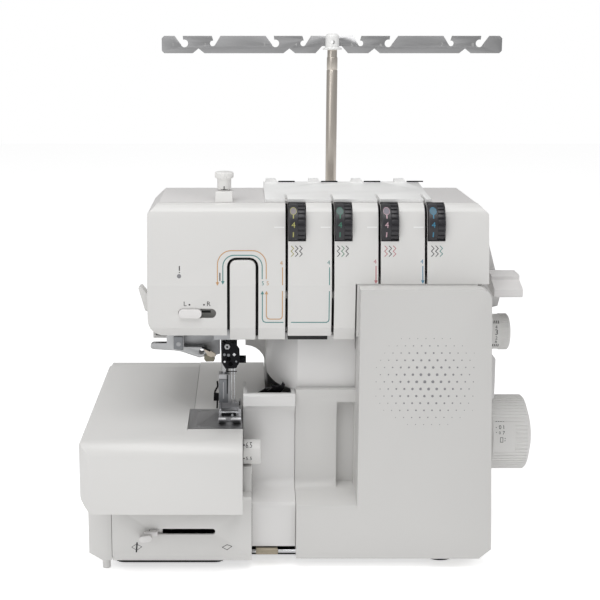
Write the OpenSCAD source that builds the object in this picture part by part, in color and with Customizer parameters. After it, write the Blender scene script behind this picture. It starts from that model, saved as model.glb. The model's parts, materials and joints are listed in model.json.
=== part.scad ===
// Four-thread overlock sewing machine with air threading, standing on its own feet.
// X runs to the operator's right, Y to the back and Z up, in millimetres.
// The origin is on the table top it stands on, under the middle of the whole machine.

/* [Overall] */
// How far the extension table reaches out to the left of the head
table_over = 57.5; // [48:0.5:70]
// Width of the head, side to side
head_w = 305; // [275:1:335]
// How far the handwheel reaches out to the right of the head
wheel_over = 56.5; // [52:0.5:66]
// How far the extension table reaches out in front of the head
table_lip = 61; // [52:1:72]
// Depth of the body, from the head's face to the back of the bed
body_d = 201; // [185:1:220]
// Depth of the spool stand behind the body
stand_d = 108; // [95:1:125]

/* [Heights] */
// Height of the rubber feet
foot_h = 6; // [4:0.5:8]
// Height of the sewing bed above the feet's soles
bed_h = 134; // [128:1:145]
// Clear height between the bed and the head
throat_h = 79; // [70:1:90]
// Height of the head
head_h = 120; // [110:1:135]
// Height of the thread guide's bar above the head
guide_h = 138; // [120:1:160]

/* [Plastic shells] */
// Wall thickness of the moulded shells
wall = 2.6; // [2:0.1:3.2]
// Radius of the extension table's rounded front edge
table_r = 16; // [8:1:18]
// Depth that the front cover stands proud of the head
cover_proud = 17; // [14:1:20]

/* [Thread guide] */
// Length of the thread guide's bar
guide_len = 346; // [300:2:380]
// Height of the thread guide's bar
guide_bar_h = 17.5; // [16:0.5:20]
// Diameter of the mast's upper tube
mast_d = 11; // [9:0.5:12]
// Travel of the mast's upper tube
mast_travel = 85; // [70:5:85]

/* [Controls] */
// Diameter of the handwheel
wheel_d = 70; // [60:1:76]
// Diameter of the tension dials
dial_d = 38; // [36:1:42]
// Width of the tension dials
dial_w = 15.4; // [13:0.2:17]
// Diameter of the stitch length dial
length_dial_d = 33; // [28:0.5:36]

/* [Stitching parts] */
// Diameter of the needle bar
needle_bar_d = 6.4; // [6:0.1:7.2]
// Stroke of the needle bar
needle_stroke = 26; // [22:1:28]
// Diameter of the presser bar
presser_bar_d = 7; // [6:0.1:8]
// Lift of the presser foot
foot_lift = 6; // [4:0.5:7]

/* [Hidden] */
$fn = 48;

// Running gap between pieces that move past each other, and between a shaft and its bush.
gap = 0.3;
bush_gap = 0.15;
cut = 1;

// Stations across the machine.
total_w = table_over + head_w + wheel_over;
table_l = -total_w / 2;
wheel_r = total_w / 2;
head_l = table_l + table_over;
head_r = head_l + head_w;
leg_r = table_l + 24;
arm_l = head_l + 36;
arm_back_l = arm_l + 4;
needle_x = head_l + 73;
presser_x = needle_x - 4.5;
side_l = head_l + 85.5;
strip_r = side_l + 8;
neck_l = head_l + 108;
cover_l = head_l + 134;
cover_step = head_l + 0.62 * head_w;
mast_x = head_l + 0.577 * head_w;
slot_pitch = 0.1357 * head_w;
function slot_x(i) = head_l + 0.4085 * head_w + i * slot_pitch;

// Stations from front to back.
total_d = table_lip + body_d + stand_d;
table_f = -total_d / 2;
stand_b = total_d / 2;
head_f = table_f + table_lip;
body_b = head_f + body_d;
cover_f = head_f - cover_proud;
cover_b = head_f + 24;
base_f = head_f - 22;
arm_f = base_f + 2.4;
shelf_f = head_f + 14;
neck_f = head_f + 107;
needle_y = head_f + 24;
presser_y = head_f + 38;
rear_b = body_b - 32;
mast_y = body_b - 17;
face_b = head_f + 62;
top_f = head_f + 22;
top_b = head_f + 124;

// Levels.
pan_z = foot_h + 3;
base_t = bed_h - 64;
head_b = bed_h + throat_h;
head_t = head_b + head_h;
crease_z = head_b + 0.4 * head_h;
arm_z = head_b - 16;
shelf_z = bed_h + 23;
recess_z = bed_h + 26;
cover_arm_z = bed_h - 75;
guide_z = head_t + guide_h;

// Handwheel, main shaft and belt drive.
shaft_y = head_f + 64;
shaft_z = bed_h - 30;
shaft_d = 9;
pulley_x = head_r - 20;
pulley_w = 10;
pulley_r = 27;
motor_y = body_b - 45;
motor_z = pan_z + 50;
motor_pulley_r = 7;
belt_t = 1.6;

// Front cover's hinge, and how far the cover slides to the right before it opens.
hinge_y = cover_f + 7;
hinge_z = pan_z + 5.5;
hinge_d = 3.2;
cover_shift = 8;

// Tension dials and stitch dials.
dial_y = head_f + 21;
dial_z = head_t - 19.5;
length_dial_y = head_f + 49;
length_dial_z = head_b - 6;
width_dial_y = shelf_f - 14;
width_dial_z = bed_h - 27.5;
width_dial_d = 22;

// Pump lever.
lever_y = head_f + 112;
lever_z = crease_z - 4;
lever_x = head_r + 25;
lever_pivot_z = crease_z - 15;

function arc(cx, cy, r, a0, a1, n = 6) =
    [for (i = [0:n]) let(a = a0 + (a1 - a0) * i / n) [cx + r * cos(a), cy + r * sin(a)]];
function round_rect(x0, x1, y0, y1, r) = concat(
    arc(x1 - r, y1 - r, r, 0, 90), arc(x0 + r, y1 - r, r, 90, 180),
    arc(x0 + r, y0 + r, r, 180, 270), arc(x1 - r, y0 + r, r, 270, 360));

module box(x0, x1, y0, y1, z0, z1)
    translate([x0, y0, z0]) cube([x1 - x0, y1 - y0, z1 - z0]);
module rod_x(x0, x1, y, z, d)
    translate([x0, y, z]) rotate([0, 90, 0]) cylinder(d = d, h = x1 - x0);
module rod_y(x, y0, y1, z, d)
    translate([x, y0, z]) rotate([-90, 0, 0]) cylinder(d = d, h = y1 - y0);
module rod_z(x, y, z0, z1, d)
    translate([x, y, z0]) cylinder(d = d, h = z1 - z0);

// An outline in Y and Z drawn out along X, in X and Z along Y, and in X and Y along Z.
module along_x(x0, x1, outline)
    translate([x0, 0, 0]) rotate([90, 0, 90]) linear_extrude(x1 - x0) polygon(outline);
module along_y(y0, y1, outline)
    translate([0, y1, 0]) rotate([90, 0, 0]) linear_extrude(y1 - y0) polygon(outline);
module along_z(z0, z1, outline)
    translate([0, 0, z0]) linear_extrude(z1 - z0) polygon(outline);

// ---------------------------------------------------------------- base

// Screws of one kind go in at the same places as their bosses.
pan_screws = [for (x = [leg_r + 48, side_l - 30, head_r - 60], y = [base_f + 30, body_b - 20]) [x, y]];
foot_places = [[leg_r + 22, base_f + 35], [head_r - 36, base_f + 38],
    [leg_r + 22, body_b - 24], [head_r - 36, body_b - 24]];
foot_d = 33;

module base_pan() color("#202022") difference() {
    union() {
        along_z(foot_h, pan_z, round_rect(leg_r + 1, side_l - 16, base_f + 6, body_b - 2, 10));
        along_z(foot_h, pan_z, round_rect(side_l - 50, head_r - 4, head_f + 1, body_b - 2, 10));
        for (p = pan_screws) rod_z(p[0], p[1], pan_z, pan_z + 4.8, 8);
    }
    for (p = pan_screws) rod_z(p[0], p[1], foot_h - cut, pan_z + 9, 3.2);
}

module rubber_feet() color("#1a1a1b")
    for (p = foot_places) translate([p[0], p[1], 0])
        rotate_extrude() polygon([[0, 0], [foot_d / 2 - 1.5, 0], [foot_d / 2, 1.5], [foot_d / 2, foot_h],
            [0, foot_h]]);

base_slot = [head_l + 0.5, head_l + 60.5];
base_slot_z = pan_z + 29.5;
module base_outline(e) along_x(leg_r + 0.4 + e, strip_r - e, concat(
    [[body_b - e, pan_z - (e > 0 ? cut : 0)], [body_b - e, base_t - e], [base_f + 3 + e, base_t - e],
     [base_f + e, base_t - 4 - e], [base_f + e, pan_z + 7]],
    [[base_f + 4 + e, pan_z - (e > 0 ? cut : 0)]]));
module base_housing() color("#dcdad8") difference() {
    union() {
        base_outline(0);
        box(side_l, strip_r, head_f - 6, head_f + 23, base_t - cut, width_dial_z - width_dial_d / 2 - 1.3);
    }
    base_outline(wall);
    box(side_l + wall, strip_r - wall, head_f - 6 + wall, head_f + 23 - wall, base_t - wall - cut,
        width_dial_z - width_dial_d / 2 - 1.3 - wall);
    along_y(base_f - cut, base_f + wall + cut, round_rect(base_slot[0], base_slot[1], base_slot_z - 2.6,
        base_slot_z + 2.6, 2.5));
    box(strip_r - wall - cut, strip_r + cut, base_f + 20, body_b - 20, pan_z + 6, base_t - 6);
}

module arm_plan(e, z0, z1) along_z(z0, z1, [
    [arm_back_l + e, body_b - e], [arm_back_l + e, head_f + 40.5], [arm_l + e, head_f + 40.5],
    [arm_l + e, arm_f + e], [side_l - 0.1, arm_f + e], [side_l - 0.1, shelf_f + 44],
    [neck_l - 0.4, shelf_f + 44], [neck_l - 0.4, body_b - e]]);
plate_x = [arm_l + 0.3, side_l - 0.4];
plate_y = [arm_f + 2, head_f + 40];
plate_t = 2.2;
module bed_cover() color("#e0dedb") {
    bed_shell();
    // Stud and lug of the cutting width dial.
    box(side_l - 2.7, side_l - 0.3, arm_f + 1, width_dial_y + 5, width_dial_z - 5, width_dial_z + 5);
    rod_x(side_l - 1, side_l + 15.6, width_dial_y, width_dial_z, 3.4);
}
module bed_shell() difference() {
    arm_plan(0, base_t, bed_h);
    difference() {
        arm_plan(wall, base_t - cut, bed_h - wall);
        box(plate_x[0] - 3, plate_x[1] + 3, plate_y[0] - 3, plate_y[1] + 4, bed_h - 5.4, bed_h);
    }
    box(plate_x[0] - 2, plate_x[1] + 2, plate_y[0] - 0.3, plate_y[1] + 0.3, bed_h - plate_t, bed_h + cut);
    box(plate_x[0] + 4, plate_x[1] + cut, plate_y[0] + 5, plate_y[1] - 5, base_t, bed_h);
}

// Slots in the needle plate for the feed dogs, and the gap that the needles drop through.
dog_x = [-9, -3.2, 6];
dog_w = 2.6;
dog_y = [needle_y - 17, needle_y + 7];
dog_travel = 3.4;
needle_dx = [2.2, 4.8];
module needle_plate() color("#6c6c6e") difference() {
    box(plate_x[0], plate_x[1], plate_y[0], plate_y[1], bed_h - plate_t, bed_h);
    for (x = dog_x) box(needle_x + x - 0.4, needle_x + x + dog_w + 0.4, dog_y[0] - 1,
        dog_y[1] + dog_travel + 1, bed_h - 3, bed_h + cut);
    box(needle_x + 1, needle_x + 5.5, needle_y - 2.5, needle_y + 2.5, bed_h - 3, bed_h + cut);
    for (y = [plate_y[0] + 7, plate_y[1] - 7]) rod_z(plate_x[0] + 9, y, bed_h - 3, bed_h + cut, 4.4);
}

module feed_dogs() color("#8d8f92") {
    for (x = dog_x) box(needle_x + x, needle_x + x + dog_w, dog_y[0], dog_y[1], bed_h - 8, bed_h - 0.5);
    difference() {
        box(needle_x - 10, needle_x + dog_x[2] + dog_w, dog_y[0], dog_y[1], bed_h - 13, bed_h - 8);
        box(needle_x + 0.8, needle_x + 5.8, needle_y - 6, needle_y + 4, bed_h - 14, bed_h);
    }
}

// ---------------------------------------------------------------- column and head

// The column's left side curves back from its front panel to the throat.
function column_plan(e) = concat(
    [[head_r + 10 - e, body_b - e], [neck_l + e, body_b - e], [neck_l + e, neck_f + 4]],
    [for (i = [1:5]) let(a = 90 * i / 6) [neck_l + e + (cover_l - neck_l + 2) * (1 - cos(a)),
        neck_f - (neck_f - cover_b - 4) * sin(a) + e * 0.5]],
    [[cover_l + 2 + e, cover_b + 1 + e], [head_r - 3 - e, cover_b + 1 + e], [head_r + 10 - e,
        cover_b + 14 + e]]);
module throat_fillet(e) along_y(neck_f + 8 + e, body_b - e, concat(
    [[neck_l + 6, arm_z - 41], [neck_l + 6, arm_z - 0.4]], [[neck_l - 20 + e, arm_z - 0.4]],
    arc(neck_l - 20 + e, arm_z - 41, 20, 90, 0)));
// The neck goes on up between the rear cover and the bottom of the face.
module neck(e) intersection() {
    along_z(arm_z - wall - cut, head_b - 3.4 + (e > 0 ? cut : 0), column_plan(e));
    box(neck_l + e, cover_step - 0.4 - e, head_f, face_b - gap - e, arm_z - 4, head_b);
}
module column_housing() color("#d4d3d1") difference() {
    union() {
        along_z(pan_z, arm_z - 0.4, column_plan(0));
        neck(0);
        throat_fillet(0);
    }
    along_z(pan_z - cut, arm_z - wall, column_plan(wall));
    neck(wall);
    box(neck_l + wall, head_r + 10 - wall, neck_f + 6, rear_b - wall, arm_z - 4, arm_z + cut);
    // Opening behind the front cover and the looper side cover.
    box(side_l, head_r - 8, head_f, neck_f + 30, pan_z - cut, shelf_z + gap);
    box(neck_l - cut, head_r - 8, neck_f + 20, body_b - 8, pan_z - cut, base_t + 0.3);
    rod_x(head_r, head_r + 12, shaft_y, shaft_z, 16);
    box(head_r, head_r + 12, body_b - 64, body_b - 38, pan_z + 22, pan_z + 46);
    box(head_r, head_r + 12, body_b - 34, body_b - 20, pan_z + 24, pan_z + 44);
}

function head_profile(e) = concat(
    [[head_f + 6 + e, head_b - 3], [head_f + 1.5 + e, head_b + 9], [head_f + e, crease_z],
     [head_f + 10 + e, head_t - 12 - e * 0.5]],
    [for (i = [1:4]) let(a = 180 - 12 - 17 * i) [head_f + 23 + (13 - e) * cos(a),
        head_t - 13 + (13 - e) * sin(a)]],
    [[face_b, head_t - e], [face_b, head_b - 3]]);
// The head's face stops at the front cover's top edge on the right.
function face_outline(e) = concat(
    [[head_r - e, crease_z + 1.5 + e], [head_r - e, head_t - 9], [head_r - 10, head_t + cut],
     [head_l + 10, head_t + cut], [head_l + e, head_t - 9]],
    arc(head_l + 15, head_b + 16.5, 15 - e, 180, 262, 5),
    [[tongue_x[0], head_b + 1.5 + e], [tongue_x[0], head_b - 2.5 + e], [slot_x(0), head_b - 2.5 + e],
     [slot_x(0), head_b + 1.2 + e], [slot_x(1), head_b + 1.2 + e], [slot_x(1), head_b - 2.5 + e],
     [cover_step - 3 - e, head_b - 2.5 + e], [cover_step - 3 - e, crease_z + 1.5 + e]]);
tongue_x = [needle_x - 1.7, needle_x + 26.4];
tongue_t = head_b + 73;
slot_w = 2.4;
selector_x = head_l + 27.5;
selector_z = head_b + 22.6;
selector_w = 34;
module head_solid(e) intersection() {
    along_x(head_l - cut, head_r + cut, head_profile(e));
    along_y(head_f - cut, face_b + cut, face_outline(e));
}
module dial_window(i, extra) rod_x(slot_x(i) + 1.3, slot_x(i) + 1.9 + dial_w, dial_y, dial_z, dial_d + extra);
module tongue_outline(e, y0, y1) along_y(y0, y1, concat(
    [[tongue_x[0] + e, head_b - 8], [tongue_x[1] - e, head_b - 8]],
    arc(tongue_x[1] - 8, tongue_t - 8, 8 - e, 0, 90, 4), arc(tongue_x[0] + 8, tongue_t - 8, 8 - e, 90,
        180, 4)));
module face_cover() color("#e9e8e6") {
    face_shell();
    // A rib ties the panels together behind the two long slots.
    difference() {
        box(max(slot_x(0) - 9, tongue_x[1] + 3.4), slot_x(1) + 9, head_f + 2, head_f + 16.4,
            crease_z - 14, crease_z - 8);
        for (i = [0, 1]) box(slot_x(i) - slot_w / 2, slot_x(i) + slot_w / 2, head_f, head_f + 12, head_b,
            crease_z);
    }
}
module face_shell() difference() {
    head_solid(0);
    head_solid(wall);
    // Open at the back, under the top cover and over the needle and presser bars.
    box(head_l + wall, head_r - wall, top_f + wall, face_b + cut, head_b - 5, head_t + cut);
    box(head_l - cut, head_r + cut, top_f, face_b + cut, head_t - 14, head_t + cut);
    box(head_l + 8, tongue_x[1] + 3, head_f + 15.6, face_b + cut, head_b - 5, head_b + 6);
    for (i = [0:3]) {
        box(slot_x(i) - slot_w / 2, slot_x(i) + slot_w / 2, head_f - cut, top_f + 2,
            i < 2 ? head_b - 4 : crease_z, head_t + cut);
        dial_window(i, 1.2);
    }
    tongue_outline(0, head_f - cut, top_f);
    along_y(head_f - cut, head_f + 10, round_rect(selector_x, selector_x + selector_w,
        selector_z - 4.4, selector_z + 4.4, 4.3));
}

module thread_tongue() color("#e4e3e1") intersection() {
    along_x(head_l, head_r, head_profile(0));
    tongue_outline(2.5, head_f - cut, head_f + 13);
}

// Black trays behind the slots, the tongue and the selector, which guide the threads.
module channel_liner() color("#141415") {
    for (i = [0:3]) difference() {
        box(slot_x(i) - 3.6, slot_x(i) + 1, top_f - 5, top_f + 5,
            i < 2 ? head_b + 1.6 + wall : crease_z + 6, head_t - 18);
        box(slot_x(i) - slot_w / 2, slot_x(i) + 2, top_f - 6, top_f + 3, head_b - 5, head_t);
    }
    for (i = [0:3]) difference() {
        box(slot_x(i) - 3.6, slot_x(i) + 1, top_f + 0.6, top_f + 14, head_t - 18.2, head_t - wall - gap);
        box(slot_x(i) - slot_w / 2, slot_x(i) + 2, top_f, top_f + 12.2, head_t - 12, head_t);
    }
    box(tongue_x[0] - 3, tongue_x[1] + 3, head_f + 13, head_f + 15, head_b + 4.6, tongue_t + 3);
    box(slot_x(0) + 1.6, slot_x(1) - 4, head_f + 9, top_f, head_b - 3.4, head_b + 0.8);
    box(selector_x - 3, selector_x + selector_w + 3, head_f + 12, head_f + 14, selector_z - 8,
        selector_z + 8);
}

screw_boss_d = 16;
module top_block(e) intersection() {
    along_z(head_t - (e > 0 ? 15 : 14), head_t - e, top_plan(e));
    along_y(top_f, top_b, [[head_l, head_t - 15], [head_r, head_t - 15], [head_r - e * 0.6,
        head_t - 9 - e * 0.6],
        [head_r - 10 - e * 0.6, head_t - e * 0.6], [head_l + 10 + e * 0.6, head_t - e * 0.6],
        [head_l + e * 0.6, head_t - 9 - e * 0.6]]);
}
module top_cover() color("#cfcecb") difference() {
    union() {
        top_block(0);
        rod_z(presser_x, presser_y, head_t - 1, head_t + 9, screw_boss_d);
        box(presser_x - 7.6, presser_x + 7.6, top_f + 0.3, presser_y, head_t - 5, head_t + 9);
    }
    top_block(wall);
    box(head_l + 12, head_r - 12, top_f, top_f + 4, head_t - 15, head_t - wall);
    rod_z(presser_x, presser_y, head_t - 10, head_t + 10, 10.8);
    for (i = [0:3]) {
        dial_window(i, 1.2);
        box(slot_x(i) - slot_w / 2, slot_x(i) + slot_w / 2, top_f - cut, top_f + 12, head_t - 15,
            head_t + cut);
    }
}
function top_plan(e) = concat(
    [[head_l + e, top_f + 0.2 + e], [head_r - e, top_f + 0.2 + e]],
    arc(head_r - 10, top_b - 10, 10 - e, 0, 90, 4), arc(head_l + 10, top_b - 10, 10 - e, 90, 180, 4));

// The rear cover closes the back and both sides of the head, and slopes down behind it.
function rear_profile(e) = [[face_b + 0.4, arm_z + (e > 0 ? -cut : 0)], [face_b + 0.4, head_t - 14.4 - e],
    [top_b - 2, head_t - 14.4 - e], [rear_b - e, head_t - 40 - e], [rear_b - e, arm_z + (e > 0 ? -cut : 0)]];
module rear_cover() color("#dedcda") difference() {
    union() {
        along_x(head_l + 0.2, head_r - 0.2, rear_profile(0));
        along_x(cover_step, head_r - 0.2, [[cover_b + 3, arm_z], [cover_b + 3, crease_z + 1],
            [face_b + 2, crease_z + 1], [face_b + 2, arm_z]]);
    }
    difference() {
        along_x(head_l + 0.2 + wall, head_r - 0.2 - wall, rear_profile(wall));
        box(head_l, neck_l + 2, face_b, body_b, arm_z - 2, arm_z + wall);
    }
    along_x(cover_step + wall, head_r - 0.2 - wall, [[cover_b + 3 + wall, arm_z - cut], [cover_b + 3 + wall,
        crease_z + 1 - wall], [face_b + 3, crease_z + 1 - wall], [face_b + 3, arm_z - cut]]);
    box(head_l + wall + 1, cover_step + 1, face_b - cut, face_b + 3, arm_z + wall, head_t);
}

// Housing of the pump lever on the right, and the seat of the stitch length dial under it.
module side_cover() color("#d3d2cf") {
    side_shell();
    // Boss and pin of the pump lever, and the stub that the stitch length dial turns on.
    rod_x(head_r + 12, lever_x - gap, lever_y, lever_pivot_z, 14);
    rod_x(head_r + 12, lever_x + 9, lever_y, lever_pivot_z, 6);
    rod_x(head_r + 8, head_r + 20, length_dial_y, length_dial_z, 7.6);
}
module side_shell() difference() {
    union() {
        box(head_r + 0.1, head_r + 11, shaft_y, shaft_y + 66, arm_z + 0.2, crease_z + 30);
        box(head_r + 0.1, head_r + 11, shaft_y - 34, shaft_y + 1, arm_z + 0.2, crease_z - 36);
        along_y(shaft_y, shaft_y + 66, [[head_r + 10, crease_z + 30], [head_r + 12, crease_z + 26],
            [head_r + 18, crease_z + 4], [head_r + 22, crease_z - 10], [head_r + 24, crease_z - 24],
            [head_r + 22, crease_z - 33], [head_r + 10, crease_z - 36]]);
        along_y(shaft_y - 34, shaft_y + 66, [[head_r + 10.4, shaft_z + 43], [head_r + 13.6, shaft_z + 43],
            [head_r + 14.7, shaft_z + 45], [head_r + 14.7, shaft_z + 81], [head_r + 13.6, shaft_z + 83],
            [head_r + 11, shaft_z + 84], [head_r + 11, arm_z + 4], [head_r + 10.4, arm_z + 4]]);
    }
    box(head_r - 2, head_r + 8.4, shaft_y + wall, shaft_y + 66 - wall, arm_z - cut, crease_z + 30 - wall);
    box(head_r - 2, head_r + 8.4, shaft_y - 34 + wall, shaft_y + 3, arm_z - cut, crease_z - 36 - wall);
    along_y(shaft_y + wall, shaft_y + 66 - wall, [[head_r + 8, crease_z + 26], [head_r + 10, crease_z + 24],
        [head_r + 15.4, crease_z + 3], [head_r + 19.4, crease_z - 11], [head_r + 21.2, crease_z - 24],
        [head_r + 19.6, crease_z - 31], [head_r + 8, crease_z - 33.4]]);
}

// ---------------------------------------------------------------- looper side cover and front cover

// Front of the looper area: a plain lower face, a lip, a ledge and a tall hollow above it.
function hollow(front, back, e) = concat(
    [[front, cover_arm_z - 2 - e], [front + 2 + e * 0.6, cover_arm_z + 1.5 - e],
     [front + 13 + e * 0.6, cover_arm_z + 5 - e]],
    [for (i = [0:4]) let(a = -90 + 18 * i) [back - 12 + (12 + e) * cos(a),
        cover_arm_z + 19 + (13 + e) * sin(a)]],
    [[back + e, shelf_z - 20]]);
module looper_side_cover() color("#d2d1cf") difference() {
    along_x(side_l + 0.2, cover_l - gap, side_cover_profile(0));
    along_x(side_l + wall, cover_l - gap - wall, side_cover_profile(wall));
    // Room on the left for the base's upright strip and the cutting width dial.
    box(side_l - cut, strip_r + gap, cover_f - cut, head_f + 24, 0,
        width_dial_z - width_dial_d / 2 - 1);
    box(side_l - cut, side_l + 16.6, cover_f - cut, shelf_f + 3, width_dial_z - width_dial_d / 2 - 1,
        width_dial_z + width_dial_d / 2 + 1);
    box(side_l - cut, strip_r, shelf_f + 9, neck_f, 0, bed_h + 0.5);
    box(side_l + wall, cover_l - wall - gap, shelf_f + 24, neck_f, 0, shelf_z + cut);
    box(strip_r - 4, cover_l - 4, shelf_f + 4, shelf_f + 26, shelf_z - 4, shelf_z + cut);
}
function side_cover_profile(e) = let(f = cover_f + 7) concat(
    [[f + e, pan_z + (e > 0 ? -cut : 10)], [f + e, cover_arm_z - 4 - e]], hollow(f, shelf_f + 6, e),
    [[shelf_f + 1 + e, shelf_z - 13], [shelf_f - 2 + e, shelf_z - 11.5], [shelf_f - 2 + e, shelf_z - 2 - e],
     [shelf_f + e, shelf_z - e], [shelf_f + 40, shelf_z - e], [shelf_f + 40, pan_z + (e > 0 ? -cut : 10)]]);

pocket_x = [cover_step - 17, cover_step - 0.5];
function cover_outline(e) = [
    [cover_l + e, pan_z + 1 + e], [head_r - 4 - e, pan_z + 1 + e], [head_r + 6.8 - e, pan_z + 10],
    [head_r - 0.4 - e, crease_z - 9], [head_r - 1.6 - e, crease_z - 4.5],
    [head_r - 4 - e * 0.7, crease_z - 1.4 - e * 0.7], [head_r - 8, crease_z - e], [cover_step + e,
        crease_z - e],
    [cover_step + e, recess_z - e], [cover_l + e, recess_z - e]];
module cover_block(e) along_y(cover_f + e, cover_b + (e > 0 ? cut : 0), cover_outline(e));
module cover_hollow(e) {
    along_x(cover_l - cut, cover_step + e, concat([[cover_f - cut, cover_arm_z - 2 - e]],
        hollow(cover_f, cover_b - 5, e), [[cover_b - 6 + e, shelf_z - 15], [cover_b - 7 + e, shelf_z - 10],
        [cover_b - 7 + e, recess_z + cut - e], [cover_f - cut, recess_z + cut - e]]));
    box(pocket_x[0] - e, pocket_x[1] + e, cover_b - 12, cover_b + 5 + e, cover_arm_z + 8 - e,
        shelf_z - 9 + e);
}
lug_x = [cover_l + 18, head_r - 60];
module front_cover() color("#dfdedc") difference() {
    union() {
        difference() {
            union() {
                cover_block(0);
                box(pocket_x[0] - wall, pocket_x[1] + wall, cover_b - 9, cover_b + 5 + wall,
                    cover_arm_z + 8 - wall, shelf_z - 9 + wall);
            }
            difference() {
                cover_block(wall);
                cover_hollow(wall);
            }
            cover_hollow(0);
            box(cover_l + wall, head_r - 8, hinge_y + 5, cover_b + cut, pan_z, pan_z + wall + 2);
        }
        for (x = lug_x) box(x, x + 14, cover_f + wall - 0.5, hinge_y + 4, pan_z + 1.5, hinge_z + 4);
    }
    rod_x(cover_l - cut, head_r - 10, hinge_y, hinge_z, hinge_d + 2 * bush_gap);
    box(bracket_x[1] - cover_shift - 1, bracket_x[1] + bracket_w + 1, cover_f + wall, hinge_y + 6, pan_z,
        hinge_z);
}

bracket_w = 20;
bracket_x = [side_l + 12, head_r - 36];
module hinge_brackets() color("#9a917f") for (x = bracket_x) difference() {
    union() {
        rod_x(x, x + bracket_w, hinge_y, hinge_z, hinge_d + 3.2);
        box(x, x + bracket_w, hinge_y, hinge_y + 22, hinge_z - 2, hinge_z + 1.8);
        box(x, x + bracket_w, hinge_y + 19, hinge_y + 22, pan_z, hinge_z + 1.8);
    }
    rod_x(x - cut, x + bracket_w + cut, hinge_y, hinge_z, hinge_d + 2 * bush_gap);
}
module hinge_rod() color("#a9a9a8") rod_x(bracket_x[0] - 4, head_r - 12, hinge_y, hinge_z, hinge_d);

// ---------------------------------------------------------------- extension table

function table_plan(e) = concat(
    [[arm_back_l - gap - e, body_b - e], [table_l + 5 + e, body_b - e], [table_l + e, body_b - 7],
     [table_l + e, table_f + 16]],
    arc(table_l + 15, table_f + 15, 15 - e, 190, 260, 4),
    [[side_l - 0.3 - e, table_f + e], [side_l - 0.3 - e, arm_f - gap - e], [arm_l - gap - e, arm_f - gap - e],
     [arm_l - gap - e, head_f + 40.5 + gap + e], [arm_back_l - gap - e, head_f + 40.5 + gap + e]]);
function table_profile(e) = concat(
    [[table_f + e, base_t + 1 + (e > 0 ? -cut : 0)]],
    arc(table_f + table_r, bed_h - table_r, table_r - e, 180, 90), arc(body_b - table_r, bed_h - table_r,
        table_r - e, 90, 0),
    [[body_b - e, base_t + 1 + (e > 0 ? -cut : 0)]]);
module table_skin(e) intersection() {
    along_z(base_t + 1 + (e > 0 ? -cut : 0), bed_h - e, table_plan(e));
    along_x(table_l - cut, neck_l, table_profile(e));
    along_y(table_f - cut, body_b + cut, [[table_l + e, base_t + 13 + e], [table_l + 10 + e,
        base_t + 1 + (e > 0 ? -cut : 0)],
        [neck_l, base_t + 1 + (e > 0 ? -cut : 0)], [neck_l, bed_h + cut], [table_l + 3 + e, bed_h + cut],
        [table_l + e, bed_h - 4]]);
}
leg_l = table_l + 3.4;
module leg_block(e) along_y(base_f + e, body_b - 6 - e, [[leg_l + e, base_t + 1 + wall], [leg_l + e,
    pan_z + 9],
    [leg_l + 12 + e, pan_z + 2 + e], [leg_r - e, pan_z + 2 + e], [leg_r - e, base_t + 1 + wall]]);
module extension_table() color("#d9d8d6") {
    difference() {
        table_skin(0);
        difference() {
            table_skin(wall);
            box(leg_l, leg_r, base_f, body_b - 6, base_t, base_t + 1 + wall);
        }
    }
    difference() {
        leg_block(0);
        leg_block(wall);
    }
    for (y = [base_f + 10, body_b - 20]) rod_z(leg_r - 6, y, 0, pan_z + 3, 7.3);
}

// ---------------------------------------------------------------- thread guide, mast and spool stand

guide_x = [slot_x(0) - 19.2, slot_x(3) + 6.4];
module thread_guide_plate() color("#ecebe9") difference() {
    union() {
        along_x(guide_x[0], guide_x[1], [[top_f + 1, head_t + 0.1], [top_f + 0.4, head_t + 3],
            [top_f + 46, head_t + 5],
            [top_f + 88, head_t + 8], [top_f + 91, head_t + 6], [top_f + 91, head_t + 0.1]]);
        for (i = [0:3]) along_y(top_f + 84, top_f + 90, [[slot_x(i) - 18, head_t + 4], [slot_x(i) - 17,
            head_t + 11],
            [slot_x(i) - 8, head_t + 11], [slot_x(i) - 6, head_t + 8], [slot_x(i) - 6, head_t + 4]]);
    }
    for (i = [0:3]) {
        dial_window(i, 1.2);
        box(slot_x(i) - slot_w / 2, slot_x(i) + slot_w / 2, top_f - cut, top_f + 24, head_t - cut,
            head_t + 9);
        box(slot_x(i) - 1.6, slot_x(i) + 1.6, top_f + 86, top_f + 93, head_t - cut, head_t + 9);
        rod_x(slot_x(i) - 5, slot_x(i) + 12, top_f + 85, head_t + 8.4, 1.6);
    }
}
module pretension_springs() color("#3a3a3c") for (i = [0:3])
    rod_x(slot_x(i) - 4.9, slot_x(i) + 11, top_f + 85, head_t + 8.4, 1.2);

stand_z = arm_z + 0.2;
stand_t = 7;
pin_dx = [-135.5, -43, 43, 135.5];
pin_y = stand_b - 46;
pin_d = 5;
shank_d = 5.5;
holder_h = 40;
base_tube_d = mast_d + 3;
base_tube_t = head_t - 11;
stand_half = guide_len / 2 - 7;
module spool_stand() color("#d6d5d3") difference() {
    union() {
        along_z(stand_z, stand_z + stand_t, round_rect(mast_x - stand_half, mast_x + stand_half,
            rear_b + 44, stand_b, 18));
        box(mast_x - 60, mast_x + 60, rear_b + 0.4, rear_b + 46, stand_z, stand_z + stand_t);
        rod_z(mast_x, mast_y, stand_z, stand_z + 24, base_tube_d + 8);
    }
    rod_z(mast_x, mast_y, stand_z + 3, stand_z + 25, base_tube_d);
    for (dx = pin_dx) rod_z(mast_x + dx, pin_y, stand_z + 2, stand_z + stand_t + cut, shank_d);
    along_z(stand_z - cut, stand_z + stand_t - wall, round_rect(mast_x - stand_half + 14, mast_x - 66,
        rear_b + 50, pin_y - 24, 6));
}
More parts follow.
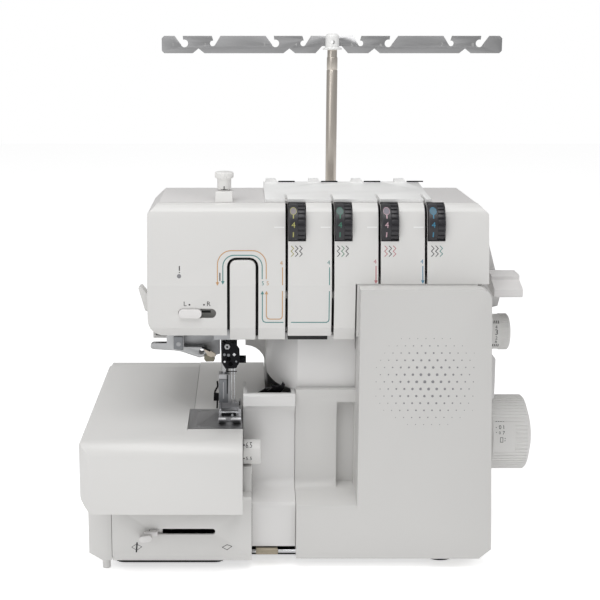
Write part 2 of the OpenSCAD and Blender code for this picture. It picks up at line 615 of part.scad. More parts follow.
// Each pin has a thicker shank inside its cone holder, and is plain above it.
module spool_pins() color("#b9b9b6") for (dx = pin_dx) translate([mast_x + dx, pin_y, 0])
    rotate_extrude() polygon([[0, stand_z + 2], [shank_d / 2, stand_z + 2], [shank_d / 2,
        stand_z + stand_t + holder_h],
        [pin_d / 2, stand_z + stand_t + holder_h], [pin_d / 2, head_t - 30], [0, head_t - 30]]);
module cone_holders() color("#e3e2df") for (dx = pin_dx) translate([mast_x + dx, pin_y, stand_z + stand_t])
    rotate_extrude() polygon([[shank_d / 2 + 0.1, 0], [22, 0], [22, 2], [12, 4], [8.5, holder_h - 2], [6,
        holder_h],
        [shank_d / 2 + 0.1, holder_h]]);
module mast_base_tube() color("#a59f93") difference() {
    rod_z(mast_x, mast_y, stand_z + 3, base_tube_t, base_tube_d);
    rod_z(mast_x, mast_y, stand_z + 2, base_tube_t + cut, mast_d + 2 * bush_gap);
}
mast_t = guide_z - 25;
mast_foot = stand_z + 10 + mast_travel;
module mast_tube() color("#b0a89c") translate([mast_x, mast_y, 0]) rotate_extrude() polygon([
    [mast_d / 2 - 1, mast_foot], [mast_d / 2, mast_foot], [mast_d / 2, mast_t - 0.8],
    [mast_d / 2 - 0.5, mast_t], [mast_d / 2 - 0.1, mast_t + 0.5], [mast_d / 2 - 0.1, mast_t + 12],
    [mast_d / 2 - 0.6, mast_t + 12.5], [mast_d / 2 - 0.6, mast_t + 25], [0, mast_t + 25],
    [0, mast_t + 12], [mast_d / 2 - 1, mast_t + 10]]);

hub_w = 13.6;
bar_y = mast_y + 6;
bar_t = 2;
module guide_hub() color("#efeeec") difference() {
    union() {
        translate([mast_x, mast_y, guide_z - 5]) rotate_extrude() polygon(concat(
            [[0, 0], [9.5, 0], [9.5, 1.6], [hub_w / 2, 2.4]], arc(hub_w / 2 - 4, 12, 4, 0, 90, 4), [[0,
                16]]));
        along_y(mast_y, bar_y + 5, [[mast_x - hub_w / 2, guide_z - 3], [mast_x + hub_w / 2, guide_z - 3],
            [mast_x + hub_w / 2, guide_z + 7], [mast_x + hub_w / 2 - 2, guide_z + 10.6],
            [mast_x - hub_w / 2 + 2, guide_z + 10.6], [mast_x - hub_w / 2, guide_z + 7]]);
    }
    box(mast_x - 10, mast_x + 10, bar_y - 0.05, bar_y + bar_t + 0.05, guide_z - 6,
        guide_z + guide_bar_h / 2 + 0.05);
    rod_z(mast_x, mast_y, guide_z - 6, guide_z + 0.3, mast_d - 1.2 + 2 * bush_gap);
    rod_y(mast_x, mast_y - 10, bar_y + 8, guide_z + 2.5, 4);
}

// Half outline of the guide's bar, from the middle out, with its two notches in the lower edge.
bar_h = guide_bar_h / 2;
notch = [43.2, 135.6];
function bar_half() = concat([[0, -bar_h + 7.2], [10, -bar_h + 7.2], [16.6, -bar_h]],
    [for (n = notch, p = [[-6, 0], [0, 4.8], [6, 0]]) [n * guide_len / 346 + p[0], -bar_h + p[1]]],
    [[guide_len / 2 - 2.5, -bar_h], [guide_len / 2, -bar_h + 2.5], [guide_len / 2, bar_h - 2.5],
     [guide_len / 2 - 2.5, bar_h], [0, bar_h]]);
big_eye = [57.4, 150];
small_eye = [29.2, 121.2];
module guide_bar() color("#9c9d9f") for (s = [0, 1]) translate([mast_x, 0, guide_z]) mirror([s, 0,
    0]) difference() {
    along_y(bar_y, bar_y + bar_t, bar_half());
    for (x = big_eye) translate([x * guide_len / 346, 0, 0]) {
        rod_y(0, bar_y - cut, bar_y + 3, bar_h - 7.6, 7.6);
        along_y(bar_y - cut, bar_y + 3, [[1.8, bar_h + cut], [10.8, bar_h + cut], [3.4, bar_h - 9], [1,
            bar_h - 5]]);
    }
    for (x = small_eye) translate([x * guide_len / 346, 0, 0]) {
        rod_y(0, bar_y - cut, bar_y + 3, bar_h - 7.6, 5.6);
        along_y(bar_y - cut, bar_y + 3, [[1.2, bar_h + cut], [-8.6, bar_h + cut], [-2.4, bar_h - 9],
            [-0.6, bar_h - 5]]);
    }
    rod_y(0, bar_y - cut, bar_y + 3, 2.5, 4);
}

// ---------------------------------------------------------------- frame, drive and power

pillar_x = [side_l + 14, head_r - 34];
// The post that carries the upper beam stands clear of the motor.
motor_l = pulley_x - 84;
post_r = min(cover_l + 56, motor_l - 3);
post_l = min(cover_l + 20, post_r - 30);
module cast_frame() color("#9fa1a4") difference() {
    union() {
        box(strip_r + 2, head_r - 12, shaft_y - 26, neck_f - 4, pan_z + 5, pan_z + 9.5);
        box(neck_l + 8, head_r - 12, neck_f - 5, body_b - 16, pan_z + 5, pan_z + 9.5);
        for (x = pillar_x) box(x, x + 8, shaft_y - 12, shaft_y + 12, pan_z + 9, shaft_z + 14);
        box(post_l, post_r, neck_f + 6, neck_f + 30, pan_z + 9, head_b + 44);
        box(needle_x - 28, post_r, neck_f + 6, neck_f + 24, head_b + 22, head_b + 44);
        box(needle_x - 24, needle_x + 16, head_f + 17.4, neck_f + 7, head_b + 24, head_b + 36);
        box(needle_x - 24, needle_x + 16, presser_y + 8, presser_y + 14, head_b - 7, head_b + 25);
        box(needle_x - 14, needle_x + 9, head_f + 17.4, presser_y + 9, head_b - 6, head_b + 4);
        box(pillar_x[0], upper_pivot[0] + 6, shaft_y - 12, shaft_y - 8, pan_z + 9, upper_pivot[1] + 6);
        rod_y(lower_pivot[0], looper_y + 1, shaft_y - 11, lower_pivot[1], 3 - 2 * bush_gap);
        rod_y(upper_pivot[0], looper_y + 8, shaft_y - 11, upper_pivot[1], 3 - 2 * bush_gap);
        along_y(presser_y + 8, presser_y + 14, [[needle_x - 43, head_b - 2], [needle_x - 9, head_b - 2],
            [needle_x - 9, arm_z - 11], [needle_x - 14, arm_z - 12.6], [needle_x - 28, arm_z - 13.4],
            [needle_x - 45, arm_z - 7], [needle_x - 46, arm_z - 1]]);
    }
    rod_x(side_l, head_r, shaft_y, shaft_z, shaft_d + 2 * bush_gap);
    rod_z(needle_x, needle_y, head_b - 10, head_b + 40, needle_bar_d + 2 * bush_gap);
    rod_z(presser_x, presser_y, head_b - 10, head_b + 40, presser_bar_d + 2 * bush_gap);
    rod_y(lifter_x, presser_y + 6, presser_y + 16, lifter_z, 5);
    for (p = pan_screws) rod_z(p[0], p[1], pan_z, pan_z + 12, 3.2);
}
module main_shaft() color("#b4b6b8") {
    rod_x(side_l + 10, head_r + 17, shaft_y, shaft_z, shaft_d);
    rod_x(pulley_x, pulley_x + pulley_w, shaft_y, shaft_z, 2 * pulley_r);
}
module handwheel() color("#cfcdca") difference() {
    translate([0, shaft_y, shaft_z]) rotate([0, 90, 0]) rotate_extrude() polygon([
        [0, head_r + 14], [wheel_d / 2 - 1.5, head_r + 14], [wheel_d / 2, head_r + 15.5],
        [wheel_d / 2 - 0.4, wheel_r - 9.2], [wheel_d / 2 - 1.6, wheel_r - 7.8],
        [wheel_d / 2 - 3, wheel_r - 7.2], [12, wheel_r - 6.4], [10.5, wheel_r - 5], [9, wheel_r], [0,
            wheel_r]]);
    rod_x(head_r + 13, head_r + 17, shaft_y, shaft_z, shaft_d);
}
module motor() color("#4b4c50") difference() {
    union() {
        rod_x(motor_l, motor_l + 70, motor_y, motor_z, 52);
        box(motor_l + 4, motor_l + 66, motor_y - 18, motor_y + 18, pan_z + 9.6, motor_z);
    }
    rod_x(pulley_x - 40, pulley_x, motor_y, motor_z, 7);
}
module motor_pulley() color("#c9b27a") {
    rod_x(pulley_x - 39, pulley_x + pulley_w + 4, motor_y, motor_z, 6);
    rod_x(pulley_x, pulley_x + pulley_w, motor_y, motor_z, 2 * motor_pulley_r);
}
// The belt runs round both pulleys, straight between the points where it leaves them.
belt_dy = motor_y - shaft_y;
belt_dz = motor_z - shaft_z;
belt_len = sqrt(belt_dy * belt_dy + belt_dz * belt_dz);
belt_tilt = atan2(belt_dz, belt_dy);
belt_lean = acos((pulley_r - motor_pulley_r) / belt_len);
function belt_loop(r) = concat(
    arc(shaft_y, shaft_z, pulley_r + r, belt_tilt + belt_lean, belt_tilt + 360 - belt_lean, 24),
    arc(motor_y, motor_z, motor_pulley_r + r, belt_tilt - belt_lean, belt_tilt + belt_lean, 10));
module drive_belt() color("#1d1d1e") difference() {
    along_x(pulley_x + 1, pulley_x + pulley_w - 1, belt_loop(gap + belt_t));
    along_x(pulley_x, pulley_x + pulley_w, belt_loop(gap));
}

inlet_y = [body_b - 63.6, body_b - 38.4];
inlet_z = [pan_z + 22.4, pan_z + 45.6];
module power_inlet() color("#232325") difference() {
    union() {
        box(head_r - 10, head_r + 10.4, inlet_y[0], inlet_y[1], inlet_z[0], inlet_z[1]);
        box(head_r + 10.4, head_r + 12, inlet_y[0] - 2, inlet_y[1] + 2, inlet_z[0] - 2, inlet_z[1] + 2);
    }
    box(head_r - 6, head_r + 13, inlet_y[0] + 3, inlet_y[1] - 3, inlet_z[0] + 4, inlet_z[1] - 4);
}
rocker_y = body_b - 27;
rocker_z = pan_z + 34;
module power_rocker() color("#2b2b2d") difference() {
    along_y(rocker_y - 6.4, rocker_y + 6.4, [[head_r + 1, rocker_z - 5], [head_r + 8, rocker_z - 9],
        [head_r + 13, rocker_z - 8.6],
        [head_r + 11.6, rocker_z], [head_r + 13, rocker_z + 8.6], [head_r + 8, rocker_z + 9],
            [head_r + 1, rocker_z + 5]]);
    rod_y(head_r + 5, rocker_y - 8, rocker_y + 8, rocker_z, 3);
}
pump_d = 30;
pump_x = head_r - wall - pump_d / 2 - 0.4;
module air_pump() color("#c3c4c6") {
    rod_z(pump_x, shaft_y + 62, arm_z + 6, arm_z + 56, pump_d);
    rod_z(pump_x, shaft_y + 62, arm_z + 56, arm_z + 62, 14);
    for (dy = [-7, 7]) rod_z(pump_x, shaft_y + 62 + dy, shaft_z + 36, arm_z + 6, 5);
}

// ---------------------------------------------------------------- stitching parts

module needle_bar() color("#c8c9ca") rod_z(needle_x, needle_y, head_b - 24, head_t - 22, needle_bar_d);
clamp_z = [arm_z - 17, head_b - 8.4];
// The needles' tips end their stroke below the bed.
needle_tip = bed_h + needle_stroke - 15.5;
module needle_clamp() color("#232325") difference() {
    union() {
        along_y(needle_y - 5.4, needle_y + 5.4, [[needle_x - 6.8, clamp_z[1]], [needle_x + 7.2, clamp_z[1]],
            [needle_x + 7.2, clamp_z[0] + 1.4], [needle_x + 6.6, clamp_z[0]], [needle_x - 4, clamp_z[0]],
            [needle_x - 6.8, clamp_z[0] + 5]]);
        rod_x(needle_x + 7, needle_x + 15.4, needle_y, clamp_z[0] + 7, 6.6);
        along_y(needle_y - 7.4, needle_y - 5.2, [[needle_x - 6.6, clamp_z[0] + 8], [needle_x + 9.6,
            clamp_z[0] + 8],
            [needle_x + 7, clamp_z[0] + 2.4], [needle_x + 5.6, clamp_z[0] + 0.4],
            [needle_x - 3.4, clamp_z[0] + 0.4], [needle_x - 5.2, clamp_z[0] + 3.2]]);
    }
    rod_z(needle_x, needle_y, clamp_z[0] + 9, clamp_z[1] + cut, needle_bar_d);
    for (dx = needle_dx) rod_z(needle_x + dx, needle_y, clamp_z[0] - cut, clamp_z[0] + 8, 2);
}
module needles() color("#d5d6d7") for (dx = needle_dx) translate([needle_x + dx, needle_y,
    0]) rotate_extrude()
    polygon([[0, needle_tip], [0.5, needle_tip + 4.5], [0.5, clamp_z[0] - 8], [0.98, clamp_z[0] - 6],
        [0.98, clamp_z[0] + 8], [0, clamp_z[0] + 8]]);

module presser_bar() color("#c4c5c6") 
    rod_z(presser_x, presser_y, bed_h + 13, head_t - 20 - foot_lift, presser_bar_d);
module presser_foot() color("#8f9093") difference() {
    union() {
        // Sole with an upturned toe, the ankle and the block that clips on the bar.
        along_x(needle_x - 9.6, needle_x + 10.8, [[needle_y - 35, bed_h + 6], [needle_y - 33, bed_h + 5],
            [needle_y - 26, bed_h + 0.4], [needle_y + 20, bed_h + 0.4], [needle_y + 20, bed_h + 3.2],
            [needle_y - 24, bed_h + 3.2], [needle_y - 32, bed_h + 7.4], [needle_y - 34, bed_h + 8]]);
        box(needle_x - 9.6, needle_x - 7.2, needle_y - 12, needle_y + 20, bed_h + 2, bed_h + 9);
        box(needle_x + 8.4, needle_x + 10.8, needle_y - 12, needle_y + 20, bed_h + 2, bed_h + 9);
        box(needle_x - 9.6, needle_x + 10.8, presser_y - 4, presser_y + 2, bed_h + 2, bed_h + 9);
        box(presser_x - 5.4, presser_x + 5.4, presser_y - 6, presser_y + 6, bed_h + 6, bed_h + 36);
    }
    rod_z(presser_x, presser_y, bed_h + 13, bed_h + 37, presser_bar_d);
    box(needle_x - 0.8, needle_x + 7.4, needle_y - 3, needle_y + 3, bed_h - cut, bed_h + 12);
    box(needle_x - 3, needle_x + 3, needle_y - 36, needle_y - 20, bed_h - cut, bed_h + 12);
}
// A helical spring: rings of points swept along a helix.
function spring_points(r, w, pitch, turns, n = 14, m = 6) =
    [for (i = [0:turns * n]) let(a = 360 * i / n) for (j = [0:m - 1]) let(b = 360 * j / m)
        [(r + w * cos(b)) * cos(a), (r + w * cos(b)) * sin(a), pitch * i / n + w * sin(b)]];
function spring_faces(rings, m = 6) = concat(
    [for (i = [0:rings - 2], j = [0:m - 1]) [i * m + j, (i + 1) * m + j, (i + 1) * m + (j + 1) % m,
        i * m + (j + 1) % m]],
    [[for (j = [0:m - 1]) j]], [[for (j = [m - 1:-1:0]) (rings - 1) * m + j]]);
module presser_spring() color("#8e9092") translate([presser_x, presser_y, head_b + 36 + 1.1]) polyhedron(
    points = spring_points(5.4, 0.7, 5, 7), faces = spring_faces(7 * 14 + 1));

lifter_x = needle_x - 26;
lifter_z = arm_z - 7;
module presser_lifter() color("#9b9b9d") difference() {
    along_y(presser_y + 1, presser_y + 7.6, concat(arc(head_l + 2.2, lifter_z + 5.2, 2.9, 90, 270, 6),
        [[lifter_x - 25, lifter_z + 1], [lifter_x - 19, lifter_z], [lifter_x - 2, lifter_z - 5.8],
         [lifter_x + 3, lifter_z - 4.6], [lifter_x + 5, lifter_z], [lifter_x + 2, lifter_z + 4.4],
         [lifter_x - 16.4, lifter_z + 4.4], [lifter_x - 16.4, lifter_z + 16], [lifter_x - 32.6,
             lifter_z + 16],
         [lifter_x - 32.6, lifter_z + 8.1]]));
    rod_y(lifter_x, presser_y, presser_y + 8, lifter_z, 5.2);
}
module pressure_screw() color("#e7e6e4") translate([presser_x, presser_y, 0]) rotate_extrude() polygon([
    [0, head_t - 20], [3, head_t - 20], [3, head_t - 8], [5.2, head_t - 6], [5.2, head_t + 9.8],
    [6.4, head_t + 10.2], [6.4, head_t + 19.8], [8.2, head_t + 20.4], [8.2, head_t + 25.4],
    [7.6, head_t + 26], [0, head_t + 26]]);

looper_y = needle_y + 2;
lower_pivot = [side_l + 26, bed_h - 72];
upper_pivot = [side_l + 34, bed_h - 34];
module lower_looper() color("#7d7f83") difference() {
    union() {
        rod_y(lower_pivot[0], looper_y + 1, looper_y + 25, lower_pivot[1], 8);
        along_y(looper_y + 1, looper_y + 4, [[lower_pivot[0] - 4, lower_pivot[1]], [lower_pivot[0] + 4,
            lower_pivot[1]],
            [lower_pivot[0] - 18, bed_h - 26], [side_l + 1, bed_h - 18], [side_l - 4, bed_h - 16.4],
            [side_l - 1, bed_h - 20], [lower_pivot[0] - 22, bed_h - 30]]);
    }
    rod_y(lower_pivot[0], looper_y - 1, looper_y + 31, lower_pivot[1], 3);
}
module upper_looper() color("#1f1f21") difference() {
    union() {
        rod_y(upper_pivot[0], looper_y + 8, looper_y + 25, upper_pivot[1], 8);
        along_y(looper_y + 8, looper_y + 11, [[upper_pivot[0] - 4, upper_pivot[1]],
            [upper_pivot[0] + 4, upper_pivot[1]], [upper_pivot[0] + 1, shelf_z - 5],
                [upper_pivot[0] - 0.5, shelf_z],
            [upper_pivot[0] - 12, shelf_z - 1.5], [upper_pivot[0] - 18, shelf_z - 4.4],
            [upper_pivot[0] - 10, shelf_z - 6.5]]);
    }
    rod_y(upper_pivot[0], looper_y - 1, looper_y + 31, upper_pivot[1], 3);
}
module lower_knife() color("#c2c3c5")
    box(side_l - 3.6, side_l - 1.6, needle_y - 15, needle_y - 2, bed_h - 22, bed_h - plate_t);

// ---------------------------------------------------------------- dials, levers and small parts

module tension_dial(i) color("#37363a") difference() {
    translate([slot_x(i) + 1.6, dial_y, dial_z]) rotate([0, 90, 0]) rotate_extrude() polygon([
        [0, 0], [dial_d / 2 - 1.2, 0], [dial_d / 2, 1.2], [dial_d / 2, dial_w - 1.6], [dial_d / 2 - 1.6,
            dial_w], [0, dial_w]]);
    rod_x(slot_x(i), slot_x(i) + 20, dial_y, dial_z, 6.4);
}
module tension_dial_1() tension_dial(0);
module tension_dial_2() tension_dial(1);
module tension_dial_3() tension_dial(2);
module tension_dial_4() tension_dial(3);
module tension_discs() color("#c9cacb") for (i = [0:3]) {
    rod_x(slot_x(i) + 1.7, slot_x(i) + 1.9 + dial_w + 8, dial_y, dial_z, 6);
    rod_x(slot_x(i) + 2.2 + dial_w, slot_x(i) + 3.4 + dial_w, dial_y, dial_z, 16);
    rod_x(slot_x(i) + 3.6 + dial_w, slot_x(i) + 4.8 + dial_w, dial_y, dial_z, 16);
}
module stitch_length_dial() color("#cfcecb") difference() {
    translate([head_r + 11.4, length_dial_y, length_dial_z]) rotate([0, 90, 0]) rotate_extrude() polygon([
        [0, 0], [length_dial_d / 2, 0], [length_dial_d / 2, 16.2], [length_dial_d / 2 - 1, 17.2],
        [length_dial_d / 2 - 3, 17.2], [0, 16.2]]);
    rod_x(head_r + 10, head_r + 22, length_dial_y, length_dial_z, 8);
}
module cutting_width_dial() color("#dddcda") difference() {
    rod_x(side_l + 0.3, side_l + 16, width_dial_y, width_dial_z, width_dial_d);
    rod_x(side_l, side_l + 17, width_dial_y, width_dial_z, 4);
}
module pump_lever() color("#dcdbd9") difference() {
    union() {
        // Finger pad, with a raised block behind it.
        along_x(head_r + 8.7, head_r + 34.6, [[shaft_y - 46, lever_z - 3.2], [shaft_y - 46, lever_z - 9.2],
            [shaft_y - 44.5, lever_z - 10.8], [shaft_y - 41, lever_z - 10.4], [shaft_y - 6, lever_z - 5],
            [shaft_y - 6, lever_z + 5.6], [shaft_y - 8, lever_z + 7.2], [shaft_y - 28.5, lever_z + 7.2],
            [shaft_y - 30.5, lever_z + 5.8], [shaft_y - 30.5, lever_z + 2.8], [shaft_y - 44.4,
                lever_z - 2.2]]);
        along_x(lever_x, head_r + 34.6, [[shaft_y - 7, lever_z - 5], [lever_y, lever_pivot_z - 7],
            [lever_y + 5, lever_pivot_z - 5], [lever_y + 7, lever_pivot_z], [lever_y + 5, lever_pivot_z + 5],
            [lever_y, lever_pivot_z + 7], [shaft_y - 7, lever_z + 5]]);
    }
    rod_x(lever_x - cut, head_r + 36, lever_y, lever_pivot_z, 6.4);
}
module knife_lever() color("#e6e5e3") {
    along_y(base_f - 10, base_f - 3, concat(arc(base_slot[0] + 0.4, base_slot_z - 2.6, 3, -90, 90),
        arc(base_slot[0] - 5.4, base_slot_z - 3.4, 3, 90, 270)));
    box(base_slot[0] - 4, base_slot[0] + 8, base_f - 6, base_f - 2.4, base_slot_z - 2, base_slot_z + 2);
    box(base_slot[0] + 1, base_slot[0] + 8, base_f - 3, base_f + 8, base_slot_z - 2, base_slot_z + 2);
    box(base_slot[0] + 1, base_slot[0] + 12, base_f + 3.4, base_f + 8, base_slot_z - 6, base_slot_z + 6);
}
module needle_selector() color("#e4e3e1") {
    along_y(head_f - 1.6, head_f + 9.4, round_rect(selector_x + 0.4, selector_x + 21, selector_z - 4,
        selector_z + 4, 3.8));
    box(selector_x + 4, selector_x + 14, head_f + 8, head_f + 11.7, selector_z - 3, selector_z + 3);
}
module thread_cutter() color("#e2e1df") along_y(face_b - 16, face_b - 2, [[head_l - 0.1, head_b + 12],
    [head_l - 6, head_b + 14.5],
    [head_l - 12, head_b + 36], [head_l - 9, head_b + 37.6], [head_l - 0.1, head_b + 26]]);
module lamp_lens() color("#f2f1e6")
    box(needle_x + 18, needle_x + 34, neck_f - 20, neck_f - 6, arm_z - 4, arm_z - 0.2);
module case_screws() color("#8d8f92") {
    for (p = pan_screws) translate([p[0], p[1], 0]) rotate_extrude()
        polygon([[0, foot_h - 2], [3, foot_h - 2], [3, foot_h], [1.55, foot_h], [1.55, pan_z + 7], [0,
            pan_z + 7]]);
    for (y = [plate_y[0] + 7, plate_y[1] - 7]) rod_z(plate_x[0] + 9, y, bed_h - plate_t, bed_h, 4.2);
}

base_pan();
rubber_feet();
base_housing();
bed_cover();
needle_plate();
column_housing();
face_cover();
thread_tongue();
channel_liner();
top_cover();
rear_cover();
side_cover();
looper_side_cover();
thread_guide_plate();
pretension_springs();
thread_cutter();
cast_frame();
motor();
drive_belt();
power_inlet();
air_pump();
tension_discs();
lower_knife();
spool_stand();
spool_pins();
cone_holders();
mast_base_tube();
hinge_brackets();
case_screws();
presser_spring();
lamp_lens();
mast_tube();
guide_hub();
guide_bar();
hinge_rod();
front_cover();
extension_table();
handwheel();
main_shaft();
motor_pulley();
needle_bar();
needle_clamp();
needles();
presser_bar();
presser_foot();
presser_lifter();
pressure_screw();
tension_dial_1();
tension_dial_2();
tension_dial_3();
tension_dial_4();
stitch_length_dial();
cutting_width_dial();
pump_lever();
knife_lever();
needle_selector();
upper_looper();
lower_looper();
feed_dogs();
power_rocker();
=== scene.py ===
import json
import math
import bpy
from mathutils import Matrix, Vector

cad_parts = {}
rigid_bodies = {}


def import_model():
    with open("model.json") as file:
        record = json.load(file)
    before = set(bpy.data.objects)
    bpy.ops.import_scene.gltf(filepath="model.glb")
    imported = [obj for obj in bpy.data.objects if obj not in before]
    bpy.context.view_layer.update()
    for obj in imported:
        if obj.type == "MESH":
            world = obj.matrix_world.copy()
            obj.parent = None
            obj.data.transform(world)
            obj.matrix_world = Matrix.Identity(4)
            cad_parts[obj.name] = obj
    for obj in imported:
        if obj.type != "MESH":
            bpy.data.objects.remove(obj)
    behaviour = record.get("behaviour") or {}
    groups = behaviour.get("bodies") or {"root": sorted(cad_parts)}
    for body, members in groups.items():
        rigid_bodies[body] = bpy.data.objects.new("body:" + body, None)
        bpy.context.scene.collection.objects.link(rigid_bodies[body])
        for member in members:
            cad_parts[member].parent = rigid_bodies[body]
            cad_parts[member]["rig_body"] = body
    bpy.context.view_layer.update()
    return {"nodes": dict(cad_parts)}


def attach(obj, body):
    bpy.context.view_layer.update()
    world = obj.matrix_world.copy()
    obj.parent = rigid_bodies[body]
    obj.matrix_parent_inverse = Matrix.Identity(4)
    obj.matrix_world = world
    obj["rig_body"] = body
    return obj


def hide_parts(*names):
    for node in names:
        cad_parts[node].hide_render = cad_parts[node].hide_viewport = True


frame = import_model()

NODES = frame["nodes"]

# ---------------------------------------------------------------- camera
# Level with the thread guide, looking slightly down on the machine's front.
camera = bpy.data.objects.new("camera", bpy.data.cameras.new("camera"))
bpy.context.scene.collection.objects.link(camera)
camera.location = (-0.0664, -1.170, 0.4865)
camera.rotation_euler = (math.radians(90 - 9.97), 0, 0)
camera.data.lens = 72
camera.data.sensor_width = 36
camera.data.shift_x = 0.095
camera.data.shift_y = -0.10
camera.data.clip_end = 50
bpy.context.scene.camera = camera
bpy.context.scene.view_settings.view_transform = "Standard"

# ---------------------------------------------------------------- light
# A white room seen behind the machine, dimmer as a light, with a wide soft box
# overhead and a smaller one to the left of the lens.
world = bpy.data.worlds.new("studio")
bpy.context.scene.world = world
world.use_nodes = True


def linear(hexed):
    parts = [int(hexed[i:i + 2], 16) / 255 for i in (1, 3, 5)]
    return tuple(c / 12.92 if c <= 0.04045 else ((c + 0.055) / 1.055) ** 2.4 for c in parts) + (1.0,)


def add(mat, kind, props=None, **sockets):
    """Adds a node. Sockets are named, or numbered as i0, i1; a value that is a socket is linked."""
    node = mat.node_tree.nodes.new("ShaderNode" + kind)
    for key, value in (props or {}).items():
        setattr(node, key, value)
    for key, value in sockets.items():
        socket = node.inputs[int(key[1:]) if key[0] == "i" and key[1:].isdigit() else key.replace("_", " ")]
        if isinstance(value, bpy.types.NodeSocket):
            mat.node_tree.links.new(value, socket)
        else:
            socket.default_value = value
    return node


glow = world.node_tree.nodes["Background"]
glow.inputs["Color"].default_value = (1, 1, 1, 1)
seen = add(world, "LightPath").outputs["Is Camera Ray"]
power = add(world, "MapRange", Value=seen, To_Min=0.38, To_Max=1.0)
world.node_tree.links.new(power.outputs["Result"], glow.inputs["Strength"])


def soft_box(name, where, aim, size, watts):
    light = bpy.data.objects.new(name, bpy.data.lights.new(name, "AREA"))
    bpy.context.scene.collection.objects.link(light)
    light.location = where
    light.data.size = size
    light.data.energy = watts
    light.rotation_euler = (Vector(aim) - Vector(where)).to_track_quat("-Z", "Y").to_euler()


soft_box("overhead", (-0.2, -0.7, 2.0), (0, -0.05, 0.25), 1.6, 22)
soft_box("front_left", (-1.3, -1.7, 1.0), (0, 0, 0.2), 1.0, 4)

# ---------------------------------------------------------------- floor
# Plain pale paper under the machine. It glows enough, as the camera sees it, to meet the
# white behind it.


def plastic(name, colour, rough, grain_mm=0.6, relief=0.05, wear=0.03):
    """Moulded plastic: fine spark texture, with slow changes in its tint and gloss.
    The grain, in millimetres, is coarser than a real tool's 0.1, which would be too fine to show."""
    mat = bpy.data.materials.new(name)
    mat.use_nodes = True
    shader = mat.node_tree.nodes["Principled BSDF"]
    where = add(mat, "TexCoord").outputs["Object"]
    fine = add(mat, "TexNoise", Vector=where, Scale=1000 / grain_mm, Detail=2.0)
    slow = add(mat, "TexNoise", Vector=where, Scale=11.0, Detail=4.0)
    base = linear(colour)
    tint = add(mat, "Mix", {"data_type": "RGBA"}, Factor=slow.outputs["Fac"],
               i6=tuple(c * (1 - wear) for c in base[:3]) + (1.0,), i7=base)
    gloss = add(mat, "MapRange", Value=slow.outputs["Fac"], To_Min=rough - 0.06, To_Max=rough + 0.06)
    bump = add(mat, "Bump", Height=fine.outputs["Fac"], Strength=relief, Distance=0.0002)
    links = mat.node_tree.links
    links.new(tint.outputs[2], shader.inputs["Base Color"])
    links.new(gloss.outputs["Result"], shader.inputs["Roughness"])
    links.new(bump.outputs["Normal"], shader.inputs["Normal"])
    return mat


bpy.ops.mesh.primitive_plane_add(size=8)
floor = bpy.context.object
floor.name = "floor"
# Matt paper: it takes a soft shadow and has no gloss.
paper = plastic("backdrop_paper", "#f4f4f4", 0.9, 2.0, 0.02)
paper_shader = paper.node_tree.nodes["Principled BSDF"]
paper_shader.inputs["Emission Color"].default_value = (1, 1, 1, 1)
met = add(paper, "LightPath").outputs["Is Camera Ray"]
held = add(paper, "MapRange", Value=met, To_Min=0.3, To_Max=0.62)
paper.node_tree.links.new(held.outputs["Result"], paper_shader.inputs["Emission Strength"])
floor.data.materials.append(paper)

# ---------------------------------------------------------------- extension table
# One thin ABS moulding, open underneath, with a soft front edge and its own leg block.
# It slides off the free arm to the left.

# ABS from a polished tool: pale and even, with a soft wide shine on each rounded edge.
shell_white = plastic("abs_moulded_warm_white", "#e4e3e1", 0.34)


def edit(piece):
    bpy.ops.object.select_all(action="DESELECT")
    piece.select_set(True)
    bpy.context.view_layer.objects.active = piece
    bpy.ops.object.mode_set(mode="EDIT")
    bpy.ops.mesh.select_all(action="SELECT")


def finish_edges(piece, width, segments=2, angle=38):
    """Breaks a piece's sharp edges by so many millimetres, and smooths its faces."""
    bpy.ops.object.mode_set(mode="OBJECT")
    piece.data.shade_smooth()
    edge = piece.modifiers.new("edge", "BEVEL")
    edge.width = width / 1000
    edge.segments = segments
    edge.limit_method = "ANGLE"
    edge.angle_limit = math.radians(angle)
    edge.harden_normals = True
    bpy.ops.object.modifier_apply(modifier="edge")


def new_piece(name, mesh, mat, body):
    mesh.materials.clear()
    mesh.materials.append(mat)
    piece = bpy.data.objects.new(name, mesh)
    bpy.context.scene.collection.objects.link(piece)
    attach(piece, body)
    return piece


def moulded(node, mat, width=0.8, segments=2, angle=38):
    """The CAD piece itself as it comes from its tool, with its edges softened."""
    piece = new_piece(node + "_finished", NODES[node].data.copy(), mat, NODES[node]["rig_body"])
    edit(piece)
    bpy.ops.mesh.remove_doubles(threshold=2e-6)
    bpy.ops.mesh.dissolve_limited(angle_limit=0.008)
    finish_edges(piece, width, segments, angle)
    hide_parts(node)
    return piece


table = moulded("extension_table", shell_white, 1.2)
# Its top runs on to a crisp rear edge over the rounded corner of the shell, and tapers
# back at the left end, where the shell leans in.
corner_y, corner_z, corner_r = 61, 118, 15
edge_left, edge_right = -0.2064, -0.1123
rear = [(59, 134.04), (75.4, 134.04), (76.5, 133.6), (76.9, 132.6), (76.9, 118.5)]
rear += [(corner_y + corner_r * math.cos(math.radians(a)), corner_z + corner_r * math.sin(math.radians(a)))
         for a in range(0, 91, 15)]
rear.append((59, 133))
bpy.ops.object.select_all(action="DESELECT")
bpy.ops.mesh.primitive_circle_add(vertices=len(rear), fill_type="NGON")
edge_mesh = bpy.context.object.data
bpy.data.objects.remove(bpy.context.object)
for corner, (y, z) in zip(edge_mesh.vertices, rear):
    corner.co = (max(edge_left, (y - 70) / 1400 - 0.2094), y / 1000, z / 1000)
table_edge = new_piece("table_rear_edge", edge_mesh, shell_white, table["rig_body"])
edit(table_edge)
bpy.ops.mesh.extrude_region_move(TRANSFORM_OT_translate={"value": (0.0923, 0, 0)})
